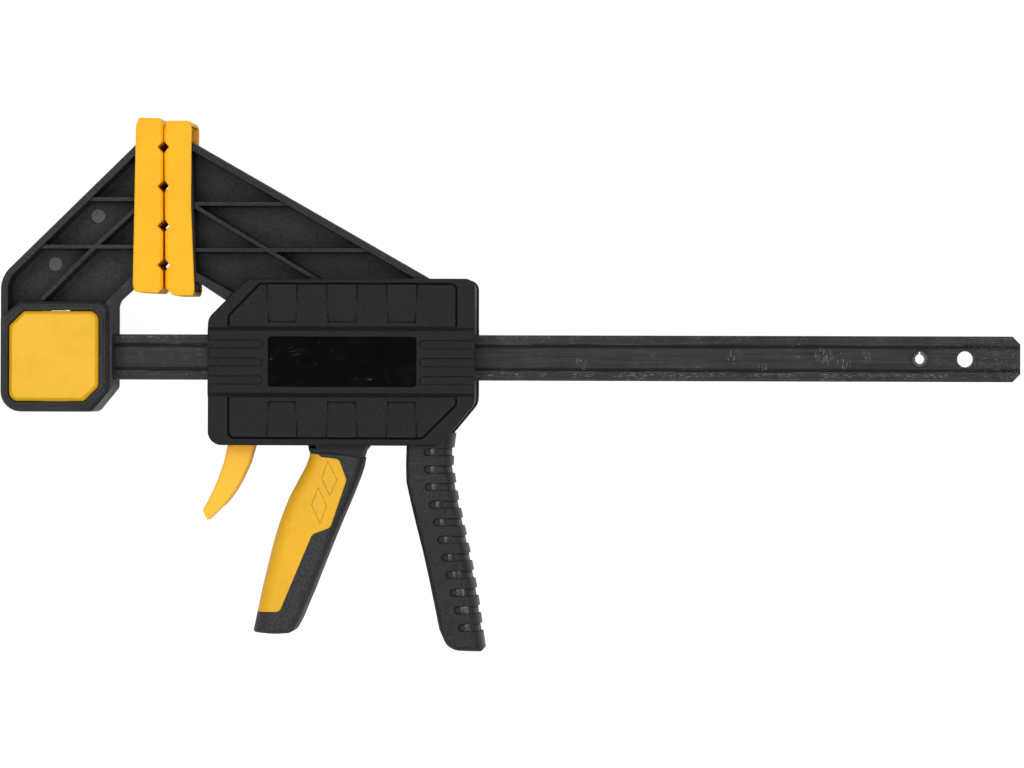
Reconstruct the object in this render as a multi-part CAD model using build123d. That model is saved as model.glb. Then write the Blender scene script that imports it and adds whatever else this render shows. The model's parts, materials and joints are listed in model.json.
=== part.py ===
from build123d import *
import math
import os

# Quick release bar clamp, lying on its side.
# While it is built, X runs along the bar with 0 where the two pads meet, Y runs from
# the grips towards the jaws with 0 on the bar's centre line, and Z is the thickness
# with 0 on the middle plane. The finished pieces are then moved so that the origin is
# under the middle of the clamp, on the surface that it lies on.
# All lengths are in millimetres and all angles in degrees.

# Bar
BAR_HEIGHT = 20.0
BAR_THICKNESS = 8.0
BAR_LENGTH = 446.9
BAR_EDGE_RADIUS = 0.6
BAR_GROOVE_HEIGHT = 12.0
BAR_GROOVE_DEPTH = 1.2
BAR_END_CHAMFER = 3.5
BAR_HOLE_DIAMETER = 7.0
BAR_HOLE_FROM_END = 24.0
STOP_PIN_FROM_END = 43.8
STOP_PIN_DIAMETER = 6.4
STOP_PIN_BORE = 4.3
STOP_PIN_LENGTH = 12.0
STOP_PIN_SLOT = 1.1

# Clearances
SLIDE_CLEARANCE = 0.15
PIN_CLEARANCE = 0.08
SEAT_CLEARANCE = 0.1
CASE_CLEARANCE = 0.2

# Jaws
JAW_HALF = 13.0
WEB_HALF = 1.5
RIB_HALF = 12.0
RIB_THICKNESS = 1.6
FLANGE = 2.9
JAW_TOP = 102.0
EJECTOR_RADIUS = 3.2
EJECTOR_DEPTH = 0.25

# Fixed jaw, which is pinned to the end of the bar
JAW_BACK = -71.7
JAW_MOUTH = -22.6
JAW_BASE = -24.2
BLOCK_HALF = 15.0
BLOCK_TOP = 24.2
BLOCK_FACE = -24.2
BLOCK_CUT = 8.7
BLOCK_EDGE = 1.3
TUNNEL_WALL = 1.65
RELIEF_DEPTH = 8.4
RELIEF_HALF = 6.3
FIXED_SLOPE = 44.3
FIXED_CORNER_Y = 35.1
FIXED_RIBS_Y = (69.3, 48.4)

# Push button and its latch
BUTTON_LEFT = -67.9
BUTTON_BASE = -19.6
BUTTON_SIZE = 39.6
BUTTON_CHAMFER = 6.5
BUTTON_CORNER = 4.0
BUTTON_BEND = 2.0
BUTTON_EDGE = 1.6
BUTTON_PROUD = 0.4
BUTTON_WALL = 1.8
BUTTON_TRAVEL = 3.6
BUTTON_GAP = 0.4
LEG_THICKNESS = 2.5
LEG_WIDTH = 11.0
LEG_GAP = 0.2
LEG_SLOT = 1.0
LATCH_PLATE = 1.8
LATCH_PLATE_HALF = 7.5
LATCH_REACH = 2.2
BARB = 0.8

# Pads
PAD_HALF = 15.0
PAD_WALL = 1.9
PAD_FRONT = 4.0
PAD_BEVEL = 1.3
PAD_GAP = 0.3
TOE_IN = 0.75
NOTCH_COUNT = 4
NOTCH_TOP_Y = 92.0
NOTCH_PITCH = 17.25
NOTCH_HEIGHT = 5.2
NOTCH_DEPTH = 2.3

# Moving jaw arm
ARM_SLOPE = -29.7
ARM_TIP_Y = 98.75
ARM_RIBS_Y = (67.3, 47.0)

# Housing: the frame's core and the two covers on it
CASE_LEFT = 20.1
CASE_RIGHT = 137.2
CASE_BASE = -38.6
CASE_TOP = 34.5
CORE_HALF = 13.2
CORE_INSET = 0.8
CORE_WALL = 3.0
BORDER_LEVEL = 16.5
PANEL_LEVEL = 15.2
BAND_LEVEL = 18.0
BAND_TOP = 11.45
BAND_BASE = -15.5
BAND_SLOPE = 3.0
BAND_WALL = 2.3
PANEL_LEFT = 28.7
PANEL_RIGHT = 129.5
PANEL_OUTER = 32.7
PANEL_BASE = -35.9
WEDGES_X = (28.7, 46.4, 58.9, 72.6, 85.3, 98.9, 111.4, 129.5)
WEDGE_DEEP = 1.35
WEDGE_SHALLOW = 0.45
WEDGE_LIP = 0.75
PANEL_GROOVE = 0.9
PANEL_GROOVE_LEVEL = 14.6
PILL_HEIGHT = 4.0
PILL_PITCH = 7.85
PILL_MIDDLE_Y = -2.2
PILL_DEPTH = 0.5
PILL_LENGTH = 24.4
LABEL_WIDTH = 65.0
LABEL_HEIGHT = 21.9
LABEL_MIDDLE = (79.2, -1.95)
LABEL_SINK = 1.0
LABEL_THICKNESS = 0.6

# Screws that hold the covers, from the far side
SCREW_PLACES = ((31.5, 19.4), (53.5, 27.5), (131.0, 27.0), (131.0, -17.5), (111.5, -31.0), (54.0, -31.0))
SCREW_RADIUS = 1.75
SCREW_HEAD_RADIUS = 3.3
SCREW_HEAD_HEIGHT = 2.2
BOSS_RADIUS = 4.2
SPIGOT_RADIUS = 2.9
SPIGOT_LEVEL = 6.0
CUP_LEVEL = -9.6
CUP_FLOOR = 1.6
SCREW_TIP_LEVEL = 13.8

# Squeeze handle
PIVOT_X = 68.0
PIVOT_Y = 20.0
PIVOT_PIN_DIAMETER = 6.0
PIVOT_PIN_HALF = 12.9
HANDLE_ANGLE = 15.0
CHEEK_INNER = 4.6
CHEEK_OUTER = 9.6
CHEEK_RADIUS = 7.5
TRUNK_HALF = 11.5
HANDLE_HALF = 12.8
HANDLE_FRONT_ROUND = 8.5
HANDLE_REAR_ROUND = 4.5
HANDLE_BASE = -121.5
HANDLE_SECTIONS = ((-38.0, 64.2, 89.5), (-43.5, 63.9, 88.0), (-47.8, 62.4, 87.3), (-52.2, 60.0, 85.9),
                   (-60.6, 55.5, 82.6), (-66.0, 53.2, 80.3), (-71.6, 51.1, 77.9), (-77.0, 49.4, 75.7),
                   (-82.6, 47.8, 73.4), (-93.7, 45.1, 69.0), (-102.5, 43.0, 65.6), (-111.7, 41.1, 61.8),
                   (-124.0, 38.6, 56.2))
NOSE_X = 11.8
NOSE_Y = -39.0
NOSE_RADIUS = 4.0
NOSE_GAP = 0.06
TANG_HALF = 4.0
TANG_WIDTH = 12.0
INLAY_DEPTH = 2.4
DIAMOND_DEPTH = 0.4

# Drive plates and their spring
DRIVE_PLATE = 3.0
DRIVE_PLATE_HALF = 9.0
DRIVE_PLATE_TOP = 15.0
DRIVE_PLATE_BASE = -20.5
DRIVE_RATIO = 38.2
SPRING_WALL_X = 116.0
DRIVE_SPRING_STANDOFF = 2.0
DRIVE_SPRING_WIRE = 1.7
DRIVE_SPRING_TURNS = 5.0

# Brake plate and release lever
FULCRUM_X = 40.3
FULCRUM_Y = 18.0
BRAKE_PLATE = 3.5
BRAKE_HALF = 9.0
BRAKE_ANGLE = 7.0
BRAKE_TAIL_HALF = 4.0
BRAKE_TAIL_LENGTH = 14.0
LEVER_TOP = -20.5
LEVER_HALF = 5.5
LEVER_ROUND = 1.6
LEVER_SECTIONS = ((-20.0, 30.4, 40.9), (-30.0, 29.3, 40.6), (-38.7, 27.6, 39.7), (-46.5, 25.9, 37.5),
                  (-54.1, 23.2, 34.0), (-58.5, 21.3, 31.5), (-63.0, 19.1, 28.3), (-67.8, 16.4, 23.8),
                  (-73.5, 13.1, 18.0))
BRAKE_POST_X = 50.5
BRAKE_SPRING_Y = -15.5
BRAKE_SPRING_RADIUS = 3.0
BRAKE_SPRING_WIRE = 0.8
BRAKE_SPRING_TURNS = 5.0
BUTTON_SPRING_RADIUS = 5.0
BUTTON_SPRING_WIRE = 0.9
BUTTON_SPRING_TURNS = 3.5

# Fixed grip
GRIP_HALF = 13.0
GRIP_FRONT_ROUND = 2.5
GRIP_REAR_ROUND = 6.5
GRIP_BASE = -128.6
GRIP_SECTIONS = ((-33.0, 107.4, 127.9), (-40.0, 107.0, 127.0), (-47.0, 106.8, 126.8), (-54.5, 107.0, 127.9),
                 (-62.2, 108.7, 129.2), (-73.0, 111.3, 131.6), (-85.1, 114.4, 134.3), (-97.0, 117.1, 136.6),
                 (-108.5, 119.5, 138.6), (-119.7, 121.8, 140.1), (-131.0, 124.1, 141.8))
FOOT_ROUND = 3.0
GROOVE_COUNT = 11
GROOVE_FIRST_Y = -41.3
GROOVE_PITCH = 7.69
GROOVE_HEIGHT = 3.7
GROOVE_DEPTH = 0.9
GROOVE_START_X = 114.7
GRIP_LEAN = 0.2386
GRIP_BEND_Y = -54.5

# Steps in which each turn of a spring is drawn
COIL_STEPS = 16

# Worked out from the values above
BAR_LEFT = JAW_BACK
BAR_RIGHT = BAR_LEFT + BAR_LENGTH
BAR_TOP = BAR_HEIGHT / 2
BAR_HALF = BAR_THICKNESS / 2
DRIVE_SPRING_RADIUS = BAR_TOP + DRIVE_SPRING_STANDOFF
LATCH_X = BAR_LEFT + BAR_HOLE_FROM_END
END_HOLE_X = BAR_RIGHT - BAR_HOLE_FROM_END
STOP_PIN_X = BAR_RIGHT - STOP_PIN_FROM_END
CORE_LEFT = CASE_LEFT + CORE_INSET
CORE_RIGHT = CASE_RIGHT - CORE_INSET
CORE_BASE = CASE_BASE + CORE_INSET
CORE_TOP = CASE_TOP - CORE_INSET
FLOOR_LEVEL = BAR_HALF + SLIDE_CLEARANCE + TUNNEL_WALL
BUTTON_RIGHT = BUTTON_LEFT + BUTTON_SIZE
BUTTON_TOP = BUTTON_BASE + BUTTON_SIZE
BUTTON_LEVEL = BLOCK_HALF + BUTTON_PROUD
BUTTON_SKIRT = FLOOR_LEVEL + BUTTON_TRAVEL + SEAT_CLEARANCE
LATCH_LEVEL = -FLOOR_LEVEL - CASE_CLEARANCE
NOSE_FACE_X = PIVOT_X + NOSE_X + NOSE_RADIUS
PLATE_START_X = NOSE_FACE_X + NOSE_GAP
PLATES_END_X = PLATE_START_X + 2 * DRIVE_PLATE
DRIVE_TRAVEL = DRIVE_RATIO * math.radians(HANDLE_ANGLE)
CARRIAGE_TRAVEL = STOP_PIN_X - STOP_PIN_DIAMETER / 2 - CORE_RIGHT - 0.4


def outline(*corners):
    """Face inside straight sides, whose corners are (x, y) or (x, y, radius)."""
    points = [corner[:2] for corner in corners]
    radii = [corner[2] if len(corner) > 2 else 0 for corner in corners]
    return make_face(FilletPolyline(*points, radius=radii, close=True).edges())


def prism(face, low, high):
    """The face carried along Z from low to high."""
    return Pos(0, 0, low) * extrude(face, amount=high - low, dir=(0, 0, 1))


def slab(face, half):
    """The face carried the same distance to both sides of the middle plane."""
    return prism(face, -half, half)


def block(x_low, x_high, y_low, y_high, z_low, z_high):
    """Box between two corners."""
    middle = Pos((x_low + x_high) / 2, (y_low + y_high) / 2, (z_low + z_high) / 2)
    return middle * Box(x_high - x_low, y_high - y_low, z_high - z_low)


def post(place, radius, low, high):
    """Cylinder along Z at an (x, y) place."""
    return prism(Pos(*place) * Circle(radius), low, high)


def strip(start, end, width):
    """Face of a straight band of one width."""
    first = Vector(*start)
    last = Vector(*end)
    along = (last - first).normalized()
    side = Vector(-along.Y, along.X) * (width / 2)
    return make_face(Polyline(first + side, first - side, last - side, last + side, close=True).edges())


def face_edges(part, level):
    """The edges that lie flat at one level."""
    return part.edges().filter_by_position(Axis.Z, level - 0.001, level + 0.001)


def coil(radius, wire, length, turns):
    """Open coil spring along Z, from 0 to length over its wire, in short straight steps."""
    steps = round(turns * COIL_STEPS)
    faces = []
    for step in range(steps + 1):
        share = step / steps
        place = Rot(0, 0, 360 * turns * share) * Pos(radius, 0, wire / 2 + (length - wire) * share)
        faces.append(place * Rot(90, 0, 0) * RegularPolygon(wire / 2, 6))
    return loft(faces, ruled=True)


# ---------------------------------------------------------------- bar

def make_bar():
    """Grooved steel bar with its latch holes, stop pin hole and chamfered far end."""
    profile = RectangleRounded(BAR_HEIGHT, BAR_THICKNESS, BAR_EDGE_RADIUS)
    groove_middle = BAR_HALF - BAR_GROOVE_DEPTH / 2
    for side in (-1, 1):
        profile -= Pos(0, side * groove_middle) * Rectangle(BAR_GROOVE_HEIGHT, BAR_GROOVE_DEPTH)
    bar = Pos(BAR_LEFT, 0, 0) * extrude(Plane.YZ * profile, amount=BAR_LENGTH)
    for side in (-1, 1):
        corner = make_face(Polyline(
            (BAR_RIGHT, side * BAR_TOP),
            (BAR_RIGHT, side * (BAR_TOP - BAR_END_CHAMFER)),
            (BAR_RIGHT - BAR_END_CHAMFER, side * BAR_TOP),
            close=True,
        ).edges())
        bar -= slab(corner, BAR_HALF + 1)
    for x in (LATCH_X, END_HOLE_X):
        bar -= post((x, 0), BAR_HOLE_DIAMETER / 2, -BAR_HALF, BAR_HALF)
    return bar - post((STOP_PIN_X, 0), STOP_PIN_DIAMETER / 2, -BAR_HALF, BAR_HALF)


def make_stop_pin():
    """Slotted spring pin that keeps the carriage on the bar."""
    half = STOP_PIN_LENGTH / 2
    pin = post((STOP_PIN_X, 0), STOP_PIN_DIAMETER / 2, -half, half)
    pin -= post((STOP_PIN_X, 0), STOP_PIN_BORE / 2, -half, half)
    slot = STOP_PIN_SLOT / 2
    return pin - block(STOP_PIN_X - slot, STOP_PIN_X + slot, 0, STOP_PIN_DIAMETER, -half, half)


# ---------------------------------------------------------------- pads

def fixed_face_x(y):
    """Clamping face of the fixed pad."""
    return -PAD_GAP / 2


def moving_face_x(y):
    """Clamping face of the moving pad, which toes in towards its top."""
    return PAD_GAP / 2 + (JAW_TOP - y) * math.tan(math.radians(TOE_IN))


def bevelled_bar(face_x, side):
    """Long bar along the clamping face, with that face's two edges bevelled."""
    flat = PAD_HALF - PAD_BEVEL
    section = outline((0, -flat), (0, flat), (side * PAD_BEVEL, PAD_HALF), (side * 40, PAD_HALF),
                      (side * 40, -PAD_HALF), (side * PAD_BEVEL, -PAD_HALF))
    lean = math.degrees(math.atan2(face_x(0) - face_x(JAW_TOP), JAW_TOP))
    return Pos(face_x(JAW_TOP), JAW_TOP) * Rot(0, 0, lean) * extrude(Plane.XZ * section, amount=2 * JAW_TOP, both=True)


def make_pad(corners, inner_top, inner_base, face_x, side):
    """Hollow slip-on pad with V grooves across its clamping face, open at its back."""
    pad = slab(outline(*corners), PAD_HALF) & bevelled_bar(face_x, side)
    top_x = face_x(inner_top) + side * PAD_FRONT
    base_x = face_x(inner_base) + side * PAD_FRONT
    back_x = side * 20
    pad -= slab(outline((top_x, inner_top), (base_x, inner_base), (back_x, inner_base), (back_x, inner_top)),
                JAW_HALF + CASE_CLEARANCE)
    for index in range(NOTCH_COUNT):
        y = NOTCH_TOP_Y - index * NOTCH_PITCH
        mouth = face_x(y) - side * NOTCH_DEPTH
        half = NOTCH_HEIGHT
        pad -= slab(outline((mouth, y - half), (face_x(y) + side * NOTCH_DEPTH, y), (mouth, y + half)),
                    PAD_HALF + 1)
    return pad


def make_fixed_pad():
    """Pad on the fixed jaw, with its clamping face square to the bar."""
    face = fixed_face_x(0)
    corners = ((face, 101.4, 1), (-1.0, 104.6, 1), (-10.6, 104.9, 1), (-12.0, 101.6, 1),
               (-13.2, 31.5, 1), (-12.3, 28.5, 1), (-2.2, 28.0, 1), (face, 30.0, 1))
    return make_pad(corners, 102.6, 29.9, fixed_face_x, -1)


def make_moving_pad():
    """Pad on the moving jaw."""
    corners = ((moving_face_x(99.8), 99.8, 1), (2.0, 103.5, 1), (11.4, 103.6, 1), (12.4, 100.9, 1),
               (12.3, 66.0, 30), (13.9, 29.4, 1), (13.2, 26.9, 1), (4.8, 26.9, 1),
               (moving_face_x(30.2), 30.2, 1))
    return make_pad(corners, 101.6, 28.8, moving_face_x, 1)


# ---------------------------------------------------------------- fixed jaw

def button_outline(extra=0.0):
    """Square button with two cut corners, grown all round by extra."""
    left = BUTTON_LEFT - extra
    right = BUTTON_RIGHT + extra
    base = BUTTON_BASE - extra
    top = BUTTON_TOP + extra
    cut = BUTTON_CHAMFER + extra * 0.6
    corner = BUTTON_CORNER + extra
    bend = BUTTON_BEND + extra
    return outline((left, base, corner), (right - cut, base, bend), (right, base + cut, bend),
                   (right, top, corner), (left + cut, top, bend), (left, top - cut, bend))


def hollow(pocket, ribs):
    """What is taken from both faces of a jaw, down to its web and round its ribs."""
    voids = slab(pocket, JAW_HALF + 1) - slab(pocket, WEB_HALF)
    for start, end in ribs:
        voids -= slab(strip(start, end, RIB_THICKNESS), RIB_HALF)
    return voids


def ejector_marks(places):
    """Shallow round marks that the mould's ejector pins leave on the web."""
    return [post(place, EJECTOR_RADIUS, WEB_HALF - EJECTOR_DEPTH, WEB_HALF + 1) for place in places]


def fixed_edge_y(x, inset=0.0):
    """Height of the fixed jaw's sloping edge, or of a line inset from it."""
    slope = math.radians(FIXED_SLOPE)
    return FIXED_CORNER_Y + (x - JAW_BACK) * math.tan(slope) - inset / math.cos(slope)


def make_fixed_jaw():
    """Ribbed fixed jaw with the bar's tunnel, the button's pocket and the latch's pocket."""
    plate_x = fixed_face_x(0) - PAD_FRONT - CASE_CLEARANCE
    back_x = -12.6
    arm = outline(
        (JAW_BACK, JAW_BASE, 9), (JAW_MOUTH - BLOCK_CUT, JAW_BASE, 3), (JAW_MOUTH, JAW_BASE + BLOCK_CUT + 2, 3),
        (JAW_MOUTH, 24.2, 6), (back_x, 33.4, 0.5), (-11.8, 30.3, 0.5), (plate_x, 30.3, 0.5),
        (plate_x, fixed_edge_y(plate_x), 0.8), (JAW_BACK, FIXED_CORNER_Y, 13))
    jaw = slab(arm, JAW_HALF)
    inner = JAW_BACK + FLANGE
    pocket = outline(
        (inner, 19.6, 0.5), (inner + 5.2, BLOCK_TOP, 0.5), (BLOCK_FACE - 3.4, BLOCK_TOP, 2.5),
        (-26.6, 22.4, 1), (back_x, 36.9, 0.5), (back_x, fixed_edge_y(back_x, FLANGE), 0.5),
        (inner, fixed_edge_y(inner, FLANGE), 10))
    upper_y, lower_y = FIXED_RIBS_Y
    ribs = (((-45, upper_y), (0, upper_y)), ((-70, lower_y), (0, lower_y)),
            ((-55.2, 23.5), (-29.6, 49.1)), ((-29.6, 49.1), (-8.0, 69.0)))
    jaw -= hollow(pocket, ribs)
    for mark in ejector_marks(((-30.4, 62.2), (-49.4, 40.9), (-14.2, 80.3), (-19.0, 44.5))):
        jaw -= mark

    rim = outline((JAW_BACK, JAW_BASE, 9), (BLOCK_FACE - BLOCK_CUT, JAW_BASE, 3),
                  (BLOCK_FACE, JAW_BASE + BLOCK_CUT + 0.8, 3), (BLOCK_FACE, BLOCK_TOP, 4.5),
                  (-63.1, BLOCK_TOP, 1.5), (JAW_BACK, 16.9, 1.5))
    rim = slab(rim, BLOCK_HALF)
    jaw += chamfer(face_edges(rim, BLOCK_HALF) + face_edges(rim, -BLOCK_HALF), BLOCK_EDGE)
    jaw -= block(JAW_BACK - 1, JAW_MOUTH + 1, -BAR_TOP - SLIDE_CLEARANCE, BAR_TOP + SLIDE_CLEARANCE,
                 -BAR_HALF - SLIDE_CLEARANCE, BAR_HALF + SLIDE_CLEARANCE)
    jaw -= prism(button_outline(BUTTON_GAP), FLOOR_LEVEL, BLOCK_HALF + 1)
    room = LATCH_PLATE_HALF + BUTTON_GAP
    jaw -= block(LATCH_X - room, LATCH_X + room, BUTTON_BASE - BUTTON_GAP, BUTTON_TOP + BUTTON_GAP,
                 -BLOCK_HALF, -FLOOR_LEVEL)
    for side in (-1, 1):
        jaw -= leg(side, LEG_GAP, -FLOOR_LEVEL - 1, FLOOR_LEVEL + 1)
    slot = LEG_WIDTH / 2 + LEG_GAP
    jaw -= block(LATCH_X - slot, LATCH_X + slot, BUTTON_TOP - 1, BUTTON_TOP + LEG_SLOT, -BLOCK_HALF - 1, BLOCK_HALF + 1)
    jaw -= post((LATCH_X, 0), BAR_HOLE_DIAMETER / 2 + SLIDE_CLEARANCE, -FLOOR_LEVEL - 1, 0)
    relief = STOP_PIN_DIAMETER / 2 + BUTTON_GAP
    jaw -= block(JAW_BACK, JAW_BACK + RELIEF_DEPTH, -relief, relief, -RELIEF_HALF, RELIEF_HALF)
    return jaw


def leg(side, gap, low, high):
    """One of the two legs that reach past the bar from the button to the latch plate."""
    outer = (BUTTON_TOP if side > 0 else BUTTON_BASE) + side * gap
    inner = outer - side * (LEG_THICKNESS + 2 * gap)
    half = LEG_WIDTH / 2 + gap
    return block(LATCH_X - half, LATCH_X + half, min(inner, outer), max(inner, outer), low, high)


def make_push_button():
    """Hollow button with two legs that end in barbs below the latch plate."""
    cap = prism(button_outline(), BUTTON_SKIRT, BUTTON_LEVEL)
    cap = chamfer(face_edges(cap, BUTTON_LEVEL), BUTTON_EDGE)
    roof = BUTTON_LEVEL - BUTTON_WALL
    cap -= prism(button_outline(-BUTTON_WALL), BUTTON_SKIRT, roof)
    barb_top = LATCH_LEVEL - LATCH_PLATE - SEAT_CLEARANCE
    for side in (-1, 1):
        cap += leg(side, 0, barb_top - BARB, roof + 0.5)
        cap += Pos(0, -side * BARB, 0) * leg(side, 0, barb_top - BARB, barb_top)
    return cap


def make_latch_pin():
    """Steel plate behind the bar whose pin locks the jaw through the bar's hole."""
    low = LATCH_LEVEL - LATCH_PLATE
    plate = block(LATCH_X - LATCH_PLATE_HALF, LATCH_X + LATCH_PLATE_HALF, BUTTON_BASE, BUTTON_TOP, low, LATCH_LEVEL)
    for side in (-1, 1):
        plate -= leg(side, SEAT_CLEARANCE, low, LATCH_LEVEL)
    top = -BAR_HALF + BAR_GROOVE_DEPTH + LATCH_REACH
    return plate + post((LATCH_X, 0), BAR_HOLE_DIAMETER / 2 - PIN_CLEARANCE, low, top)


def make_button_spring():
    """Coil spring between the jaw's floor and the button's roof."""
    length = BUTTON_LEVEL - BUTTON_WALL - FLOOR_LEVEL - 2 * SEAT_CLEARANCE
    middle_x = (BUTTON_LEFT + BUTTON_RIGHT) / 2
    spring = coil(BUTTON_SPRING_RADIUS, BUTTON_SPRING_WIRE, length, BUTTON_SPRING_TURNS)
    return Pos(middle_x, 0, FLOOR_LEVEL + SEAT_CLEARANCE) * spring


# ---------------------------------------------------------------- housing

def case_outline():
    """Outline of the housing's covers."""
    return outline((CASE_LEFT, CASE_BASE, 6), (121.9, CASE_BASE, 8), (CASE_RIGHT, -20.1, 7),
                   (CASE_RIGHT, CASE_TOP, 4.4), (37.5, CASE_TOP, 5), (CASE_LEFT, 17.0, 6))


def arm_edge_y(x, inset=0.0):
    """Height of the arm's sloping edge, or of a line inset from it."""
    slope = math.radians(ARM_SLOPE)
    return ARM_TIP_Y + (x - moving_face_x(ARM_TIP_Y) - PAD_FRONT) * math.tan(slope) - inset / math.cos(slope)


def make_arm():
    """Ribbed arm of the moving jaw, which runs down into the housing."""
    plate_gap = PAD_FRONT + CASE_CLEARANCE
    tip_x = moving_face_x(ARM_TIP_Y) + plate_gap
    foot_x = moving_face_x(29.2) + plate_gap
    arm = slab(outline(
        (tip_x, arm_edge_y(tip_x), 0.6), (122, arm_edge_y(122)), (122, 20), (35, 20), (14.3, 33.5, 0.5),
        (12.7, 29.2, 0.5), (foot_x, 29.2, 0.5)), JAW_HALF)
    back_top = 12.3
    back_base = 14.2
    pocket = outline(
        (back_top, arm_edge_y(back_top, FLANGE), 0.5), (112, arm_edge_y(112, FLANGE)), (112, 22), (42, 22),
        (back_base, 37.2, 0.5))
    upper_y, lower_y = ARM_RIBS_Y
    ribs = (((5, upper_y), (75, upper_y)), ((5, lower_y), (110, lower_y)), ((9.0, 68.9), (81.8, 25.6)))
    arm -= hollow(pocket, ribs)
    for mark in ejector_marks(((32.3, 73.7), (47.9, 53.5), (69.3, 53.2), (92.1, 39.6))):
        arm -= mark
    return arm


def lofted_bar(sections, half, front_radius, rear_radius, inset=0.0):
    """Smooth bar through rounded sections (height, front x, rear x), or the same bar inset all over."""
    faces = []
    for y, front, rear in sections:
        low = front + inset
        high = rear - inset
        side = half - inset
        front_round = max(front_radius - inset, 0.6)
        rear_round = max(rear_radius - inset, 0.6)
        face = outline((low, -side, front_round), (high, -side, rear_round), (high, side, rear_round),
                       (low, side, front_round))
        faces.append(Plane(origin=(0, y, 0), x_dir=(1, 0, 0), z_dir=(0, -1, 0)) * face)
    return loft(faces, ruled=True)


def round_foot(base, half, radius, inset=0.0):
    """Long body along X that rounds a handle's lower edges."""
    low = base + inset
    side = half - inset
    face = outline((low, -side, radius), (0, -side), (0, side), (low, side, radius))
    return extrude(Plane.YZ * face, amount=200)


def grip_shape(inset):
    """The fixed grip's body, or the same body inset all over."""
    body = lofted_bar(GRIP_SECTIONS, GRIP_HALF, GRIP_FRONT_ROUND, GRIP_REAR_ROUND, inset)
    trim = outline((80, -20), (80, -80), (121.3, -118.0, 8), (124.8, -125.5, 6), (128.5, -128.2, 8),
                   (136.4, -128.6), (141.0, -128.6, 2.2), (142.0, -122.0, 3), (160, -100), (160, -20))
    if inset:
        trim = offset(trim, amount=-inset)
    return body & slab(trim, GRIP_HALF + 1) & round_foot(GRIP_BASE, GRIP_HALF, FOOT_ROUND, inset)


def make_grip():
    """Fixed grip with finger grooves that wrap round its rear."""
    grip = grip_shape(0.0)
    radius = GROOVE_HEIGHT / 2
    for index in range(GROOVE_COUNT):
        y = GROOVE_FIRST_Y - index * GROOVE_PITCH
        x = GROOVE_START_X + GRIP_LEAN * max(0.0, GRIP_BEND_Y - y) + radius
        pill = Pos(x, y) * Circle(radius) + Pos(x + 20, y) * Rectangle(40, GROOVE_HEIGHT)
        grip -= slab(pill, GRIP_HALF + 1)
    return grip + grip_shape(GROOVE_DEPTH)


def make_carriage_frame():
    """One moulding of moving jaw, housing core and fixed grip."""
    core = offset(case_outline(), amount=-CORE_INSET)
    cavity = offset(core, amount=-CORE_WALL)
    frame = make_arm() + slab(core, CORE_HALF) + make_grip()
    frame -= slab(cavity, CORE_HALF)

    ceiling = CORE_TOP - CORE_WALL
    frame += block(SPRING_WALL_X, SPRING_WALL_X + 3, CORE_BASE + 1, CORE_TOP - 1, -CORE_HALF, CORE_HALF)
    frame += block(BRAKE_POST_X, BRAKE_POST_X + 3, CORE_BASE + 1, -BAR_TOP - 1.5, -CORE_HALF, CORE_HALF)
    frame += block(FULCRUM_X - 3.8, FULCRUM_X + 6, FULCRUM_Y, ceiling + 1, -BRAKE_HALF, BRAKE_HALF)
    frame -= post((FULCRUM_X, FULCRUM_Y), BRAKE_PLATE / 2 + PIN_CLEARANCE, -CORE_HALF, CORE_HALF)
    lug = BAR_HALF + SLIDE_CLEARANCE
    frame += block(PIVOT_X - CHEEK_RADIUS, PIVOT_X + CHEEK_RADIUS, BAR_TOP + 2, ceiling + 1, -lug, lug)
    frame -= post((PIVOT_X, PIVOT_Y), PIVOT_PIN_DIAMETER / 2, -lug, lug)

    for place in SCREW_PLACES:
        frame += post(place, BOSS_RADIUS, CUP_LEVEL, CORE_HALF)
    for place in SCREW_PLACES:
        frame -= post(place, BOSS_RADIUS + SEAT_CLEARANCE, -CORE_HALF - 1, CUP_LEVEL)
        frame -= post(place, SCREW_RADIUS + SEAT_CLEARANCE, CUP_LEVEL - 1, CORE_HALF)
        frame -= post(place, SPIGOT_RADIUS + SEAT_CLEARANCE, SPIGOT_LEVEL, CORE_HALF + 1)

    frame -= block(CASE_LEFT - 1, CASE_RIGHT + 1, -BAR_TOP - SLIDE_CLEARANCE, BAR_TOP + SLIDE_CLEARANCE,
                   -BAR_HALF - SLIDE_CLEARANCE, BAR_HALF + SLIDE_CLEARANCE)
    below = CORE_BASE - 1
    floor_top = CORE_BASE + CORE_WALL + 0.01
    frame -= block(25.4, 48.5, below, floor_top, -LEVER_HALF - 1, LEVER_HALF + 1)
    frame -= block(62.3, 106.3, below, floor_top, -CORE_HALF - 1, CORE_HALF + 1)
    return frame


def cover_panel(sign):
    """Sunk panel of a cover, above the band for 1 or below it for -1."""
    if sign > 0:
        return outline((PANEL_LEFT, 0), (PANEL_LEFT, 18.2, 2.5), (42.6, PANEL_OUTER, 2.5),
                       (PANEL_RIGHT, PANEL_OUTER, 3), (PANEL_RIGHT, 0))
    return outline((PANEL_LEFT, 0), (PANEL_RIGHT, 0), (PANEL_RIGHT, -20.9, 2.5), (114.4, PANEL_BASE, 2.5),
                   (PANEL_LEFT, PANEL_BASE, 3))


def panel_hollows(sign, lip, outer):
    """What a panel's row of wedges leaves out: they slope inwards and outwards in turn."""
    top = BAND_LEVEL + 1
    deep = BORDER_LEVEL - WEDGE_DEEP
    shallow = BORDER_LEVEL - WEDGE_SHALLOW
    inward = outline((outer, BORDER_LEVEL), (lip, deep), (lip, shallow), (0, shallow), (0, top), (outer, top))
    outward = outline((outer, deep), (lip, shallow), (0, shallow), (0, top), (outer, top))
    hollows = []
    for index, (left, right) in enumerate(zip(WEDGES_X, WEDGES_X[1:])):
        profile = inward if index % 2 else outward
        hollows.append(Pos(left, 0, 0) * extrude(Plane.YZ * profile, amount=right - left))
    return Part() + hollows & prism(cover_panel(sign), CORE_HALF, top)


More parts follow.
